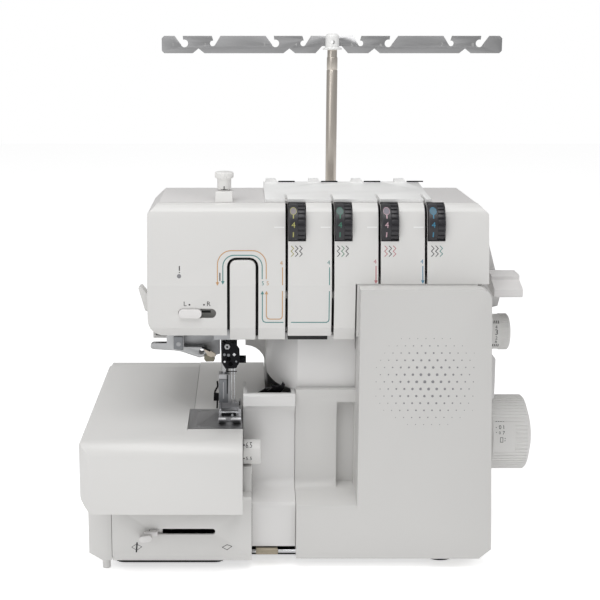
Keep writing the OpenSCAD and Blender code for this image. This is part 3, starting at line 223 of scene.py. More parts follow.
bpy.ops.transform.resize(value=(0, 1, 1), center_override=(edge_right, 0, 0))
bpy.ops.mesh.select_all(action="SELECT")
bpy.ops.mesh.normals_make_consistent(inside=False)
bpy.ops.object.mode_set(mode="OBJECT")
bpy.ops.object.shade_smooth_by_angle(angle=math.radians(40))

# ---------------------------------------------------------------- base
# Pan of black glass-filled plastic on four rubber feet, under a grey-white ABS base
# housing. Its front slot holds the knife lever, between two printed signs.

# ABS, a little duller than the casing above it.
base_white = plastic("abs_moulded_base_white", "#e3e2e0", 0.42)
base = moulded("base_housing", base_white, 1.0)
# Glass-filled plastic: black and matt, with a rough skin from the fibres.
pan_black = plastic("glass_filled_black", "#1b1b1d", 0.62, 0.4, 0.15)
moulded("base_pan", pan_black, 0.6)
# Moulded rubber: black, and almost without gloss.
foot_rubber = plastic("rubber_black", "#161617", 0.8, 0.9, 0.3)
moulded("rubber_feet", foot_rubber, 0.8)
# Polished ABS, the brightest and glossiest of the whites, as a finger piece is.
lever_white = plastic("abs_moulded_lever_white", "#eceae9", 0.3)
moulded("knife_lever", lever_white, 0.8, 3)


def ink(name, colour, rough=0.5):
    """Pad-printed ink, slightly uneven where the pad lifted off."""
    return plastic(name, colour, rough, 0.3, 0.03, 0.12)


def ribbon(points, width):
    """Outline of a line of even width along points, with mitred corners."""
    left, right = [], []
    for i, point in enumerate(points):
        here = Vector(point)
        ahead = (Vector(points[min(i + 1, len(points) - 1)]) - here).normalized()
        behind = (here - Vector(points[max(i - 1, 0)])).normalized()
        way = (ahead + behind).normalized()
        side = Vector((-way.y, way.x)) * width / 2 / max(0.4, way.dot(behind if i else ahead))
        left.append(tuple(here + side))
        right.append(tuple(here - side))
    return right + left[::-1]


def disc(x, z, r, sides=16):
    return [(x + r * math.cos(2 * math.pi * i / sides), z + r * math.sin(2 * math.pi * i / sides))
            for i in range(sides)]


def glyph(text, x, z, height):
    """Outlines of a digit or a letter, centred on x and z."""
    bpy.ops.object.select_all(action="DESELECT")
    bpy.ops.object.text_add()
    sign = bpy.context.object
    sign.data.body = text
    sign.data.size = height / 0.7
    sign.data.resolution_u = 3
    sign.data.align_x = "CENTER"
    sign.data.align_y = "CENTER"
    bpy.ops.object.convert(target="MESH")
    sign = bpy.context.object
    shapes = [[(sign.data.vertices[v].co.x + x, sign.data.vertices[v].co.y + z) for v in face.vertices]
              for face in sign.data.polygons]
    bpy.data.objects.remove(sign)
    return shapes


def printed(name, colour, piece, shapes, cuts=0, start=-300):
    """Flat shapes, in millimetres across and up, pressed straight back onto a piece's front.
    Each is a filled circle whose corners are moved to the outline, which runs anticlockwise
    so that it faces forward. For a round piece they are cut finer first."""
    bpy.ops.object.select_all(action="DESELECT")
    bpy.ops.mesh.primitive_circle_add(vertices=len(shapes[0]), fill_type="NGON")
    bpy.ops.object.mode_set(mode="EDIT")
    for shape in shapes[1:]:
        bpy.ops.mesh.primitive_circle_add(vertices=len(shape), fill_type="NGON")
    bpy.ops.object.mode_set(mode="OBJECT")
    mesh = bpy.context.object.data
    bpy.data.objects.remove(bpy.context.object)
    outline = []
    for shape in shapes:
        area = sum(a[0] * b[1] - b[0] * a[1] for a, b in zip(shape, shape[1:] + shape[:1]))
        outline += shape if area > 0 else shape[::-1]
    for corner, (x, z) in zip(mesh.vertices, outline):
        corner.co = (x / 1000, start / 1000, z / 1000)
    mark = new_piece(name, mesh, colour, piece["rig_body"])
    if cuts:
        edit(mark)
        bpy.ops.mesh.quads_convert_to_tris()
        bpy.ops.mesh.subdivide(number_cuts=cuts)
        bpy.ops.object.mode_set(mode="OBJECT")
    press = mark.modifiers.new("press", "SHRINKWRAP")
    press.target = piece
    press.wrap_method = "PROJECT"
    press.wrap_mode = "ABOVE_SURFACE"
    press.use_project_y = True
    press.offset = 0.00008
    bpy.context.view_layer.objects.active = mark
    bpy.ops.object.modifier_apply(modifier="press")
    return mark


# Pad-printed black: flat and sharp, lying on the plastic.
ink_black = ink("ink_black", "#1c1c1e")
printed("knife_signs", ink_black, base, [
    ribbon([(-167.4, 23.7), (-162.8, 26.6), (-158.2, 23.9), (-162.8, 20.6), (-167.4, 23.7)], 0.4),
    ribbon([(-163.2, 18.6), (-162.4, 28.2)], 1.3),
    ribbon([(-85.3, 23.5), (-80.8, 26.0), (-76.5, 24.4), (-80.8, 21.0), (-85.3, 23.5)], 0.5)])

# ---------------------------------------------------------------- free arm and needle plate
# The arm's ABS cover carries a ground steel needle plate, held by two screws and slotted
# for the hardened feed dogs. The lower knife is clamped upright at the plate's right edge.


def metal(name, colour, rough, grain_mm=0.3, stretch=(1, 1, 1), relief=0.1):
    """Worked metal: a grain drawn out along its working, which lines its gloss.
    The grain, in millimetres, is coarser than the real 0.05, which would be too fine to show."""
    mat = bpy.data.materials.new(name)
    mat.use_nodes = True
    shader = mat.node_tree.nodes["Principled BSDF"]
    shader.inputs["Metallic"].default_value = 1.0
    where = add(mat, "TexCoord").outputs["Object"]
    drawn = add(mat, "Mapping", Vector=where, Scale=stretch)
    grain = add(mat, "TexNoise", Vector=drawn.outputs["Vector"], Scale=1000 / grain_mm, Detail=3.0)
    base = linear(colour)
    tint = add(mat, "Mix", {"data_type": "RGBA"}, Factor=grain.outputs["Fac"],
               i6=tuple(c * 0.86 for c in base[:3]) + (1.0,), i7=base)
    gloss = add(mat, "MapRange", Value=grain.outputs["Fac"], To_Min=rough - 0.08, To_Max=rough + 0.08)
    bump = add(mat, "Bump", Height=grain.outputs["Fac"], Strength=relief, Distance=0.0001)
    links = mat.node_tree.links
    links.new(tint.outputs[2], shader.inputs["Base Color"])
    links.new(gloss.outputs["Result"], shader.inputs["Roughness"])
    links.new(bump.outputs["Normal"], shader.inputs["Normal"])
    return mat


moulded("bed_cover", shell_white, 0.8)
# Ground steel: dull grey, with its gloss drawn out along the grinding.
plate_steel = metal("steel_ground_dark", "#b0b0b2", 0.46, 0.6, (1, 0.08, 1))
moulded("needle_plate", plate_steel, 0.15)
# Case-hardened steel: darker and satin. Its teeth, 1.3 mm apart, catch the light in rows.
dog_steel = metal("steel_case_hardened", "#8d8f92", 0.38)
tooth_mm = 1.3
ridges = add(dog_steel, "TexWave", {"bands_direction": "Y"},
             Vector=add(dog_steel, "TexCoord").outputs["Object"], Scale=1000 / tooth_mm / 20)
teeth = add(dog_steel, "Bump", Height=ridges.outputs["Fac"], Strength=0.9, Distance=0.0006)
dog_steel.node_tree.links.new(teeth.outputs["Normal"],
                              dog_steel.node_tree.nodes["Principled BSDF"].inputs["Normal"])
moulded("feed_dogs", dog_steel, 0.2)
# Polished steel: bright, with faint lines along its length.
polished_steel = metal("steel_polished", "#cfd0d2", 0.2, 0.3, (1, 1, 0.1), 0.04)
moulded("lower_knife", polished_steel, 0.15)
# Zinc-plated steel: pale grey and satin.
zinc_steel = metal("steel_zinc_plated", "#b0b1b3", 0.34)
moulded("case_screws", zinc_steel, 0.15)

# ---------------------------------------------------------------- column
# ABS column behind the covers, with a rounded throat, and the sewing lamp's frosted
# lens on the underside of the arm.
# ABS, satin rather than glossy, so the throat shades evenly.
column_white = plastic("abs_moulded_column", "#ebeae9", 0.4)
moulded("column_housing", column_white, 1.2)
# Frosted acrylic: milky, and a third of the light goes through it.
lens = plastic("acrylic_frosted", "#f4f1e6", 0.3, 0.4, 0.1)
lens.node_tree.nodes["Principled BSDF"].inputs["Transmission Weight"].default_value = 0.35
moulded("lamp_lens", lens, 0.4)

# ---------------------------------------------------------------- face of the head
# Glossy ABS face, with four thread slots over black trays, the threading tongue, the
# needle thread selector and its windows. The threading paths are printed in colour.
face = moulded("face_cover", shell_white, 1.0, 3, 9)
moulded("thread_tongue", shell_white, 0.8, 3, 9)
# Acetal, satin. Its black is painted shade, so the trays read as the shadow behind the slots.
shade_tray_black = plastic("acetal_black_painted_shade", "#131314", 0.5, 0.4, 0.1)
liner = moulded("channel_liner", shade_tray_black, 0.3)
moulded("needle_selector", lever_white, 0.8, 3)
slot_pitch = 41.389
slot_x = [-27.41 + slot_pitch * i for i in range(4)]
# Pale acetal round the selector's window, flat and satin.
tray_grey = plastic("acetal_pale_grey", "#dad9d6", 0.5, 0.4, 0.1)
window_panes = ((-106, -88.4, 236.0, 242.0), (-106, -88.4, 229.0, 233.7),
                (-106, -104, 233.7, 236), (-95.5, -88.4, 233.7, 236))
printed("selector_tray", tray_grey, liner,
        [[(x0, z0), (x1, z0), (x1, z1), (x0, z1)] for x0, x1, z0, z1 in window_panes], start=-112.5)
# Pad-printed colours, softened because the ink is thin over white.
inks = {name: ink("ink_" + name, colour) for name, colour in
        dict(orange="#d2a679", teal="#5d9391", red="#c67f83", blue="#5f94b0", yellow="#a8a25c",
             green="#5f8f73", white="#fbfbfa", grey="#8f8f92").items()}
path_w = 0.85


def bow(x0, x1, z, r, z0, z1):
    """A line up at x0, over a round top and down at x1."""
    turn = [(x0 + r - r * math.cos(math.pi * i / 16), z - r + r * math.sin(math.pi * i / 16))
            for i in range(9)]
    back = [(x1 - (x - x0), y) for x, y in turn[::-1]]
    return [(x0, z0)] + turn + back + [(x1, z1)]


def arrow(x, z, up=1, size=3.2):
    return [(x - size / 2, z), (x + size / 2, z), (x, z + up * size)]


def stitch(x):
    """One thread of a seam, zigzagging up."""
    return ribbon([(x + (1.2 if i % 2 else -1.2), 286.8 + 2.4 * i) for i in range(5)], 0.6)


printed("path_orange", inks["orange"], face, [
    ribbon(bow(-89.2, -45.7, 292.1, 12.3, 264, 267.0), path_w), arrow(-89.2, 264.3, -1),
    ribbon([(-45.5, 233), (-45.5, 253.6)], path_w), arrow(-45.5, 253.4),
    ribbon([(-45.5, 233.4), (-44.6, 231.2), (-42.4, 230.4), (-33.6, 230.4), (-31.9, 231.2),
            (-31.2, 233), (-31.2, 256.4)], path_w),
    ribbon([(-31.2, 261.8), (-31.2, 277.4)], path_w)]
    + glyph("5", -44.4, 263.2, 3.6) + glyph("4", -32.2, 281.0, 3.8))
printed("path_teal", inks["teal"], face, [
    ribbon(bow(-84.4, -49.3, 288.0, 10, 265, 267.0), path_w), arrow(-84.4, 265.3, -1),
    ribbon([(-49.1, 253.6), (-49.1, 230.6), (-48.2, 228.2), (-46, 227.4), (-30.2, 227.4)], path_w),
    arrow(-49.1, 253.4),
    ribbon([(-23.4, 227.4), (8.2, 227.4), (10.0, 228.2), (10.7, 230), (10.7, 256.4)], path_w),
    ribbon([(10.7, 261.8), (10.7, 277.4)], path_w)]
    + glyph("5", -48.7, 263.2, 3.6) + glyph("4", 9.9, 281.4, 3.8))
for name, x in (("red", 52.1), ("blue", 93.8)):
    printed("path_" + name, inks[name], face, [ribbon([(x, 278.6), (x, 265.4)], path_w), arrow(x, 266.0, -1)]
            + glyph("4", x - 0.8, 282.3, 3.8))
printed("face_signs", ink_black, face, [
    ribbon([(-87.0, 265.4), (-87.0, 272.6)], 0.9), ribbon([(-123.1, 278.6), (-123.1, 274.4)], 0.9),
    disc(-123.1, 272.9, 0.5), disc(-114.3, 243.7, 0.8), disc(-101.3, 243.7, 0.8)]
    + glyph("L", -118.3, 244.4, 4.2) + glyph("R", -97.2, 244.4, 4.2))
printed("face_dot", inks["grey"], face, [disc(-123.4, 269.6, 1.9, 24)])
seam_grey = ink("ink_dark_grey", "#3a3a3e")
# Each sign is a seam of three threads. The dial above it sets the coloured ones.
thread_pitch = 3.8
seam_signs = (("yellow", -22.4, (0,)), ("green", 18.8, (1,)), ("red", 61.0, (0, 2)), ("teal", 102.6, (2,)))
for i, (name, x, threads) in enumerate(seam_signs):
    others = [j for j in range(3) if j not in threads]
    printed(f"stitch_thread_{i + 1}", inks[name], face, [stitch(x + thread_pitch * j) for j in threads])
    printed(f"stitch_sign_{i + 1}", seam_grey, face, [stitch(x + thread_pitch * j) for j in others])
printed("slot_ticks", inks["white"], face,
        [ribbon([(x - 11.2, 312.6), (x - 2.4, 312.6)], 1.2) for x in slot_x])

# ---------------------------------------------------------------- top, back and side of the head
# Lightly textured grey ABS top, a glossy rear cover, and the side moulding that holds
# the pump lever and the stitch length dial. A cutter for thread ends is on the left.

# ABS from an etched tool: a fine grain that spreads the shine.
top_grey = plastic("abs_textured_grey", "#dfdddc", 0.44, 0.8, 0.12)
moulded("top_cover", top_grey, 1.5, 3)
moulded("rear_cover", shell_white, 1.6)
# ABS, satin and a shade greyer than the casing.
side_white = plastic("abs_moulded_side", "#dddcdb", 0.4)
moulded("side_cover", side_white, 1.2)
moulded("thread_cutter", shell_white, 0.8)
# ABS, a little glossier than the side it moves in.
pump_white = plastic("abs_moulded_pump_lever", "#e4e2e1", 0.36)
moulded("pump_lever", pump_white, 1.4, 3)

# ---------------------------------------------------------------- presser foot pressure screw
# White ABS cap on a screw, ribbed for the fingers, with a plus moulded on the boss below.
# A square collar on the top cover's edge carries it.

# ABS, the palest on the machine, satin.
screw_white = plastic("abs_moulded_cap_white", "#f4f3f1", 0.34)
screw = moulded("pressure_screw", screw_white, 0.5)
screw_axis = (-83.5, -86, 0)


def bars(name, mat, body, box, centre, axis, count, edge=0.3):
    """Grip ribs: one bar at the front, copied at even steps right round an axis."""
    x0, x1, y0, y1, z0, z1 = (v / 1000 for v in box)
    bpy.ops.object.select_all(action="DESELECT")
    bpy.ops.mesh.primitive_cube_add(size=1, location=((x0 + x1) / 2, (y0 + y1) / 2, (z0 + z1) / 2))
    grip = bpy.context.object
    grip.name = name
    bpy.ops.transform.resize(value=(x1 - x0, y1 - y0, z1 - z0))
    bpy.ops.object.transform_apply()
    edit(grip)
    bpy.ops.mesh.bevel(offset=edge / 1000, segments=2, affect="EDGES")
    bpy.ops.mesh.select_all(action="SELECT")
    bpy.ops.mesh.spin(dupli=True, steps=count - 1, angle=2 * math.pi * (count - 1) / count,
                      center=tuple(c / 1000 for c in centre), axis=axis)
    bpy.ops.object.mode_set(mode="OBJECT")
    grip.data.materials.append(mat)
    bpy.ops.object.shade_smooth_by_angle(angle=math.radians(35))
    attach(grip, body)
    return grip


bars("pressure_cap_ribs", screw_white, "pressure_screw", (-84.0, -83.0, -94.6, -93.9, 353.8, 358.0),
     screw_axis, (0, 0, 1), 30)
printed("pressure_sign", ink_black, screw, [ribbon([(-86.4, 343.5), (-80.6, 343.5)], 0.7),
                                            ribbon([(-83.5, 343.9), (-83.5, 346.4)], 0.9)], 2)


def plate(name, mat, body, outline, y0, y1, edge=0.2):
    """A flat piece: an outline across and up, drawn back from y0 to y1, its edges broken."""
    bpy.ops.object.select_all(action="DESELECT")
    bpy.ops.mesh.primitive_circle_add(vertices=len(outline), fill_type="NGON")
    mesh = bpy.context.object.data
    bpy.data.objects.remove(bpy.context.object)
    for corner, (x, z) in zip(mesh.vertices, outline):
        corner.co = (x / 1000, y0 / 1000, z / 1000)
    piece = new_piece(name, mesh, mat, body)
    edit(piece)
    bpy.ops.mesh.extrude_region_move(TRANSFORM_OT_translate={"value": (0, (y1 - y0) / 1000, 0)})
    bpy.ops.mesh.select_all(action="SELECT")
    bpy.ops.mesh.normals_make_consistent(inside=False)
    finish_edges(piece, edge)
    return piece


plate("pressure_collar", screw_white, "machine",
      [(-91.3, 333.2), (-75.7, 333.2), (-75.7, 342.15), (-91.3, 342.15)], -101.95, -92.6, 0.4)

# ---------------------------------------------------------------- thread guide plate
# One white ABS plate over the slots, with four catches and black pretension springs.

# ABS, nearly pure white, so it stands out from the grey top under it.
guide_white = plastic("abs_moulded_guide_white", "#f6f6f5", 0.36)
moulded("thread_guide_plate", guide_white, 0.7)
# Black-oxide spring steel: near black, with thin bright highlights.
black_steel = metal("steel_black_oxide", "#2a2a2c", 0.42, 0.3)
moulded("pretension_springs", black_steel, 0.1)

# ---------------------------------------------------------------- tension dials
# Four charcoal ABS dials on their posts, ribbed on the right, smooth on the left where
# each has a coloured spot and its scale. Pressed steel discs sit beside them.

# ABS, charcoal and satin, so the ribs show as soft grey lines.
dial_black = plastic("abs_satin_charcoal", "#2e2d31", 0.36, 0.4, 0.08)
moulded("tension_discs", polished_steel, 0.2)
dulled = dict(yellow="#b3b06c", green="#45806a", red="#c9a9b2", blue="#4489a8")
spots = dict(yellow="#8d8688", green="#5f716f", red="#86808a", blue="#587a8c")
dial_y, dial_z = -103, 313.5


def turned(name, mat, body, profile, y, z, steps=72):
    """A piece turned round a line along X: its outline, as x and radius, spun full circle."""
    bpy.ops.object.select_all(action="DESELECT")
    bpy.ops.mesh.primitive_circle_add(vertices=len(profile), fill_type="NOTHING")
    mesh = bpy.context.object.data
    bpy.data.objects.remove(bpy.context.object)
    for corner, (x, r) in zip(mesh.vertices, profile):
        corner.co = (x / 1000, (y - r) / 1000, z / 1000)
    piece = new_piece(name, mesh, mat, body)
    edit(piece)
    bpy.ops.mesh.spin(steps=steps, angle=2 * math.pi, center=(0, y / 1000, z / 1000), axis=(1, 0, 0))
    bpy.ops.mesh.select_all(action="SELECT")
    bpy.ops.mesh.remove_doubles(threshold=1e-6)
    bpy.ops.mesh.normals_make_consistent(inside=False)
    bpy.ops.object.mode_set(mode="OBJECT")
    bpy.ops.object.shade_smooth_by_angle(angle=math.radians(32))
    return piece


for i, spot in enumerate(("yellow", "green", "red", "blue")):
    node, x = f"tension_dial_{i + 1}", slot_x[i] + 1.6
    middle = x + 4.1
    body = NODES[node]["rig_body"]
    dial = turned(node + "_finished", dial_black, body, [
        (x, 3.25), (x, 17.8), (x + 0.4, 18.7), (x + 1.2, 19), (x + 8.0, 19), (x + 8.5, 18.6),
        (x + 8.7, 18.0), (x + 13.6, 18.0), (x + 14.8, 17.4), (x + 15.4, 16.2), (x + 15.4, 3.25)],
        dial_y, dial_z)
    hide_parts(node)
    bars(node + "_ribs", dial_black, body, (x + 8.2, x + 14.6, -122, -120.4, 312, 315),
         (0, dial_y, dial_z), (1, 0, 0), 24, 0.5)
    dial_ink = ink("ink_dulled_" + spot, dulled[spot])
    ring = disc(middle, 327.2, 2.8, 24) + [(middle + 2.8, 327.2)]
    printed(node + "_ring", dial_ink, dial, [ribbon(ring, 0.35)], 2)
    printed(node + "_spot", ink("ink_spot_" + spot, spots[spot]), dial, [disc(middle, 327.2, 2.6, 24)], 3)
    printed(node + "_scale", dial_ink, dial, [
        ribbon([(middle, 321.2), (middle, 324.2)], 1.0), ribbon([(middle, 304.4), (middle, 309.2)], 1.0)]
        + glyph("4", middle, 315.4, 5.2), 2)

# ---------------------------------------------------------------- looper covers
# The front cover slides right, then drops open on a steel rod in two lacquered brackets.
# A fixed cover stands to its left. A pattern of small grey dots is printed on the front.

# ABS, satin, matched to the casing.
looper_side_white = plastic("abs_moulded_looper_side", "#e5e4e3", 0.38)
moulded("looper_side_cover", looper_side_white, 1.0)
# ABS, glossy enough for a broad soft reflection down the flat front. Its white is darker than the casing's,
# as painted shade for that upright front.
shaded_cover_white = plastic("abs_moulded_cover_painted_shade", "#d5d4d2", 0.36)
cover = moulded("front_cover", shaded_cover_white, 1.6, 3)
plate("cover_bead", shaded_cover_white, cover["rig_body"], [
    (35.4, 214.5), (37.6, 214.5), (37.6, 260.7), (143, 260.7), (143, 262.2), (35.4, 262.2)],
    -123.8, -119, 0.2)
# Beige lacquer on steel: only a little of the metal's glint is left.
bracket_lacquer = metal("steel_beige_lacquer", "#a89e8b", 0.5, 0.5)
bracket_lacquer.node_tree.nodes["Principled BSDF"].inputs["Metallic"].default_value = 0.3
moulded("hinge_brackets", bracket_lacquer, 0.4)
moulded("hinge_rod", polished_steel, 0.2)
# A staggered lattice, its dots smaller away from the middle.
dots = []
for row in range(14):
    for column in range(13):
        x, z = 52 + 7.2 * column + 3.6 * (row % 2), 138 + 6.6 * row
        size = 1.5 * (1 - math.hypot((x - 98) / 62, (z - 178) / 56))
        if size > 0.28 and x < 142:
            dots.append(disc(x, z, size, 12))
printed("cover_dots", inks["grey"], cover, dots)

# ---------------------------------------------------------------- stitch dials
# Ribbed ABS dials: the stitch length dial on the right, and the cutting width dial in
# the looper area. Each has a printed scale.

# ABS, satin: its ribs are told apart by their shade alone.
dial_grey = plastic("abs_moulded_dial_grey", "#e5e4e2", 0.38)
length_dial = moulded("stitch_length_dial", dial_grey, 0.6)
bars("stitch_length_ribs", dial_grey, "stitch_length_dial", (172.6, 180.4, -92.0, -91.2, 206.45, 207.55),
     (0, -75, 207), (1, 0, 0), 44, 0.2)
length_marks = [ribbon([(165.6 + 1.7 * i, z0), (165.6 + 1.7 * i, z1)], 0.8)
                for i in range(4) for z0, z1 in ((217.6, 219.8), (195.6, 198.4))]
for digit, z, height in (("4", 214.6, 2.8), ("3", 210.0, 4.8), ("2", 204.6, 3.2), ("R", 200.6, 2.6)):
    length_marks += glyph(digit, 168.3, z, height)
printed("stitch_length_scale", ink_black, length_dial, length_marks, 1)
width_dial = moulded("cutting_width_dial", dial_grey, 0.5)
printed("cutting_width_scale", ink_black, width_dial,
        [disc(-65.4, 115.0, 0.7, 8), disc(-65.4, 103.8, 0.7, 8)]
        + glyph("6.5", -61.0, 114.8, 3.6) + glyph("5.5", -61.0, 103.6, 3.4), 1)

# ---------------------------------------------------------------- handwheel
# Ribbed ABS wheel on the end of the main shaft, with a smooth window for its marks. The
# ribs beside the window start at its right edge.
shaft_y, shaft_z = -60, 104
wheel = turned("handwheel_finished", dial_grey, "main_drive", [
    (167, 0), (167, 33.6), (168.4, 35), (201.4, 34.8), (202.6, 33.9), (203.6, 31), (206.6, 22),
    (208.7, 12), (209.4, 0)], shaft_y, shaft_z)
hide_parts("handwheel")
wheel_ribs = bars("handwheel_ribs", dial_grey, "main_drive", (168.8, 201.2, -95.4, -94.4, 103.1, 104.9),
                  (0, shaft_y, shaft_z), (1, 0, 0), 62, 0.3)
edit(wheel_ribs)
bpy.ops.mesh.select_all(action="DESELECT")
bpy.ops.object.mode_set(mode="OBJECT")
for point in wheel_ribs.data.vertices:
    point.select = point.co.y < -0.085 and 0.0953 < point.co.z < 0.1236 and point.co.x < 0.18
bpy.ops.object.mode_set(mode="EDIT")
window_wide = 0.0206
bpy.ops.transform.translate(value=(window_wide, 0, 0))
bpy.ops.object.mode_set(mode="OBJECT")
wheel_marks = [ribbon([(170.9 + 2.2 * i, 123.4), (172.2 + 2.2 * i, 123.4)], 0.5) for i in range(4)]
box_sign = [(174.8, 105.0), (174.8, 109.4), (177.2, 109.4), (177.2, 105.0), (174.8, 105.0)]
wheel_marks.append(ribbon(box_sign, 0.4))
for x, z, r in ((179.2, 108.6, 0.45), (179.2, 106.4, 0.45), (171.2, 118.4, 0.4), (171.2, 114.2, 0.4)):
    wheel_marks.append(disc(x, z, r, 8))
for digit, x, z, height in (("0", 174.8, 118.4, 3.4), ("I", 178.2, 118.4, 3.4), ("0", 174.4, 113.6, 2.6),
                            ("7", 178.0, 113.6, 3.0)):
    wheel_marks += glyph(digit, x, z, height)
printed("handwheel_marks", ink_black, wheel, wheel_marks, 1)
moulded("main_shaft", zinc_steel, 0.4)

# ---------------------------------------------------------------- mast and thread guide
# Two lacquered tubes with a click stop, a white hub, and a brushed steel bar with a
# hooked eye and a notch for each thread.

# Champagne lacquer on drawn aluminium: warm, with long streaks up the tube.
mast_lacquer = metal("aluminium_champagne", "#e2dad0", 0.34, 0.4, (1, 1, 0.05))
moulded("mast_base_tube", mast_lacquer, 0.3)
moulded("mast_tube", mast_lacquer, 0.2)
moulded("guide_hub", guide_white, 0.5, 3)
# Brushed steel: the brushing runs along the bar and smears its highlight that way.
bar_steel = metal("steel_brushed", "#b4b4b5", 0.42, 0.35, (0.04, 1, 1))
bar = moulded("guide_bar", bar_steel, 0.25)
# Engraved digits, a little paler than the steel.
engraving = ink("engraved_pale", "#c9c9c8")
number_x = (-137.5, -105.0, -44.7, -12.6, 44.3, 73.8, 135.8, 167.2)
printed("guide_numbers", engraving, bar,
        [shape for digit, x in zip("12345678", number_x) for shape in glyph(digit, x, 470.8, 3.4)])

# ---------------------------------------------------------------- spool stand
# White ABS tray behind the machine, with four cone holders and plated pins.
moulded("spool_stand", shell_white, 1.2)
moulded("cone_holders", guide_white, 0.6)
moulded("spool_pins", zinc_steel, 0.3)

# ---------------------------------------------------------------- needles and clamp
# The plated needle bar carries a black steel clamp with two needles, a hexagon screw
# and a knurled set screw. A wire under it guides the needle threads.
moulded("needle_bar", polished_steel, 0.3)
# Blackened steel, with a slight shine on its edges.
clamp_black = metal("steel_blackened", "#232325", 0.4, 0.4)
moulded("needle_clamp", clamp_black, 0.4)
# The clamp's blackened steel made darker still: the two knobs are the darkest spots.
plate_black = metal("steel_blackened_darker", "#101011", 0.35, 0.4)
moulded("needles", polished_steel, 0.05)
clamp_f = -108.5
plate("clamp_plate", clamp_black, "needle_carrier", [
    (-85.5, 204.4), (-72.4, 204.4), (-71.8, 201.6), (-69.6, 198.6), (-69.2, 187.0), (-70.4, 184.4),
    (-72.4, 182), (-74.4, 180.4), (-82.6, 180.4), (-84.2, 183), (-85.6, 188)], clamp_f - 0.1, -105)
plate("clamp_screw", zinc_steel, "needle_carrier", disc(-80.8, 201.4, 2.8, 6), -110.6, clamp_f, 0.3)
plate("clamp_screw_socket", clamp_black, "needle_carrier", disc(-80.8, 201.4, 1.1, 12),
      -110.7, -110.5, 0.05)
plate("clamp_bright_peg", polished_steel, "needle_carrier", disc(-74.4, 193.8, 1.7, 4),
      -109.2, clamp_f, 0.1)
rivets = ((-83.2, 187.0, 1.0), (-72.6, 187.2, 0.9), (-83.4, 193.6, 1.3), (-79.6, 193.2, 1.4))
for i, (x, z, r) in enumerate(rivets):
    plate(f"clamp_rivet_{i + 1}", polished_steel if i == 0 else dog_steel, "needle_carrier",
          disc(x, z, r), -109.1, clamp_f, 0.1)
for i, (x, z) in enumerate(((-79.6, 189.4), (-77.8, 184.6))):
    plate(f"clamp_knob_{i + 1}", plate_black, "needle_carrier", disc(x, z, 2.2), -109.0, clamp_f, 0.2)
bars("clamp_knurl", clamp_black, "needle_carrier", (-69.4, -63.7, -103.5, -102.9, 186.7, 187.3),
     (0, -100, 187), (1, 0, 0), 26, 0.15)
plate("thread_wire", clamp_black, "needle_carrier",
      ribbon([(-81.4, 180.6), (-81.4, 177), (-72.0, 177)], 0.8), -106.4, -105.6, 0.2)

# ---------------------------------------------------------------- presser foot
# The plated presser bar, pushed down by a spring, holds a shank and a dark steel foot
# with bright toes. The lifting lever turns behind it, next to a beige thread guard.
moulded("presser_bar", polished_steel, 0.3)
# Browned steel, worn back to a pale satin.
foot_steel = metal("steel_browned", "#c8c8ca", 0.42, 0.4)
moulded("presser_foot", foot_steel, 0.4)
NODES["presser_spring"].data.materials.clear()
NODES["presser_spring"].data.materials.append(zinc_steel)
# Pressed sheet steel: pale, satin and plain.
lifter_steel = metal("steel_pressed", "#c6c7c8", 0.4)
moulded("presser_lifter", lifter_steel, 0.5)


def foot_plate(name, mat, outline, y0, y1, edge=0.2):
    """A flat piece fixed to the foot or its shank."""
    return plate(name, mat, "presser", outline, y0, y1, edge)


foot_plate("shank_front", dog_steel, [(-88.9, 143), (-80.3, 143), (-80.3, 165.4), (-88.9, 165.4)],
           -93.4, -92)
foot_plate("shank_groove", foot_steel, ribbon([(-84.6, 147), (-84.6, 163)], 0.8), -93.7, -93.3, 0.1)
foot_plate("shank_key", clamp_black, ribbon([(-81.0, 152), (-81.0, 170)], 0.9), -93.9, -93.3, 0.1)
foot_plate("foot_bridge", polished_steel, ribbon([(-88.4, 140.4), (-70.2, 140.4)], 1.3), -114, -111.8, 0.3)
foot_plate("foot_block", clamp_black, [(-86, 136.0), (-72.6, 136.0), (-72.6, 139.8), (-86, 139.8)],
           -114.4, -111, 0.4)
foot_plate("foot_peg", polished_steel, disc(-76.2, 138.0, 1.5, 4), -114.9, -114.2, 0.2)
for name, x in (("left", -85.6), ("right", -75.4)):
    foot_plate("foot_toe_" + name, polished_steel,
               [(x - 2, 139.8), (x + 2, 139.8), (x + 1.6, 141.7), (x - 1.6, 141.7)], -134.3, -132.6, 0.3)
foot_plate("foot_side_bar", clamp_black, ribbon([(-69.4, 134.6), (-69.4, 146.4)], 1.0), -101, -97, 0.2)
foot_plate("foot_clip", clamp_black, ribbon([
    (-90.4, 163.2), (-89.9, 158.5), (-92.6, 153.2), (-93.0, 148.0), (-90.4, 145.0), (-90.6, 137.0)], 1.5),
    -92, -89.4, 0.3)
foot_plate("foot_clip_pad", clamp_black, [(-93.9, 144.2), (-89.0, 144.2), (-89.0, 151.6), (-93.6, 152.2)],
           -91.6, -89.8, 0.4)
# Cream lacquer on the guard, which all but hides the steel.
guard_cream = metal("steel_cream_lacquer", "#e6dac8", 0.45, 0.5)
guard_cream.node_tree.nodes["Principled BSDF"].inputs["Metallic"].default_value = 0.1
plate("thread_guard", guard_cream, "machine", [
    (-102.9, 193.2), (-100.2, 193.6), (-92.2, 189.8), (-91.4, 186.6), (-96.4, 186.0), (-99.4, 187.4)],
    -89.6, -87.4, 0.4)
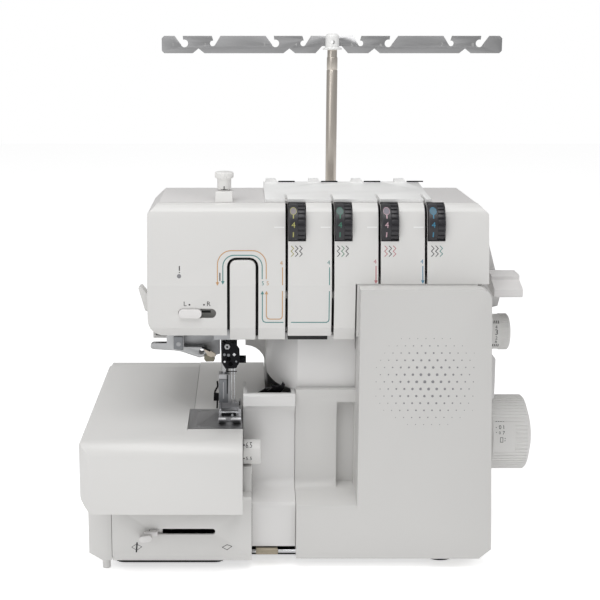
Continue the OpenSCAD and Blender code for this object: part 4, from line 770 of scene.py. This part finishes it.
# The guard's lower half is the same cream made darker: painted shade under the upper half.
guard_cream_shaded = metal("steel_cream_lacquer_painted_shade", "#8f8a78", 0.45, 0.5)
guard_cream_shaded.node_tree.nodes["Principled BSDF"].inputs["Metallic"].default_value = 0.2
plate("thread_guard_lower", guard_cream_shaded, "machine", [
    (-102.2, 187.4), (-93.4, 186.6), (-92.4, 184.0), (-93.6, 181.0), (-101.0, 180.8), (-102.8, 183.4)],
    -87.2, -85.4, 0.4)
plate("thread_guard_screw", clamp_black, "machine", ribbon([(-104.6, 195.8), (-96.8, 192.0)], 1.6),
      -90.4, -89.7, 0.2)
lifter_f = -84.9
plate("lifter_pin", zinc_steel, "presser_lifter", disc(-126.4, 197.4, 2.4), -86.4, lifter_f, 0.4)
plate("lifter_step", dog_steel, "presser_lifter",
      [(-131, 192.6), (-122.2, 191.4), (-122.2, 204.8), (-131, 204.8)], -86.2, lifter_f, 0.6)

# ---------------------------------------------------------------- loopers
# Forged steel loopers on their shafts. The black upper looper is bent forward under its
# hooked tip, which shows above the looper cover and swings clear of the column.

# Forged and polished steel: darker than the plated parts, with a sharp shine.
looper_steel = metal("steel_forged", "#84868a", 0.3, 0.4)
moulded("lower_looper", looper_steel, 0.4)
moulded("upper_looper", clamp_black, 0.4)
plate("upper_looper_tip", clamp_black, "upper_looper", [
    (-53.3, 154.1), (-45.0, 158.9), (-43.6, 156.3), (-39.0, 159.4), (-40.6, 162.2), (-35.6, 160.2),
    (-31.1, 161.5), (-29.5, 165.0), (-27.2, 161.7), (-29.5, 157.1), (-33.3, 152.9), (-52.1, 152.9)],
    -98.6, -96.6, 0.3)
plate("upper_looper_bend", clamp_black, "upper_looper",
      [(-44, 151.2), (-34.5, 151.2), (-34.5, 155), (-43, 155)], -97, -88, 0.3)

# ---------------------------------------------------------------- frame and drive
# Cast aluminium frame with the motor, its brass pulley and the toothed belt, and the
# sealed pump that blows the threads through.

# Aluminium as cast: pale, dull and coarse-skinned.
casting = metal("aluminium_as_cast", "#c2c3c5", 0.55, 1.2, (1, 1, 1), 0.5)
moulded("cast_frame", casting, 0.8)
# Charcoal enamel, with a soft sheen on the motor's round can.
motor_black = plastic("enamel_charcoal", "#4b4c50", 0.45, 0.8, 0.1)
moulded("motor", motor_black, 1.5, 3)
# Turned brass: yellow and bright, with fine rings from the lathe.
brass = metal("brass_turned", "#c9b27a", 0.25, 0.2, (0.1, 1, 1))
moulded("motor_pulley", brass, 0.3)
moulded("drive_belt", foot_rubber, 0.2)
# ABS, grey and satin.
pump_grey = plastic("abs_moulded_pump", "#c3c4c6", 0.45)
moulded("air_pump", pump_grey, 1.0)

# ---------------------------------------------------------------- power inlet and switch
# Black glass-filled inlet for the appliance lead, snapped into the column's side, and
# the rocker switch above it.
moulded("power_inlet", pan_black, 0.5)
moulded("power_rocker", pan_black, 0.6)
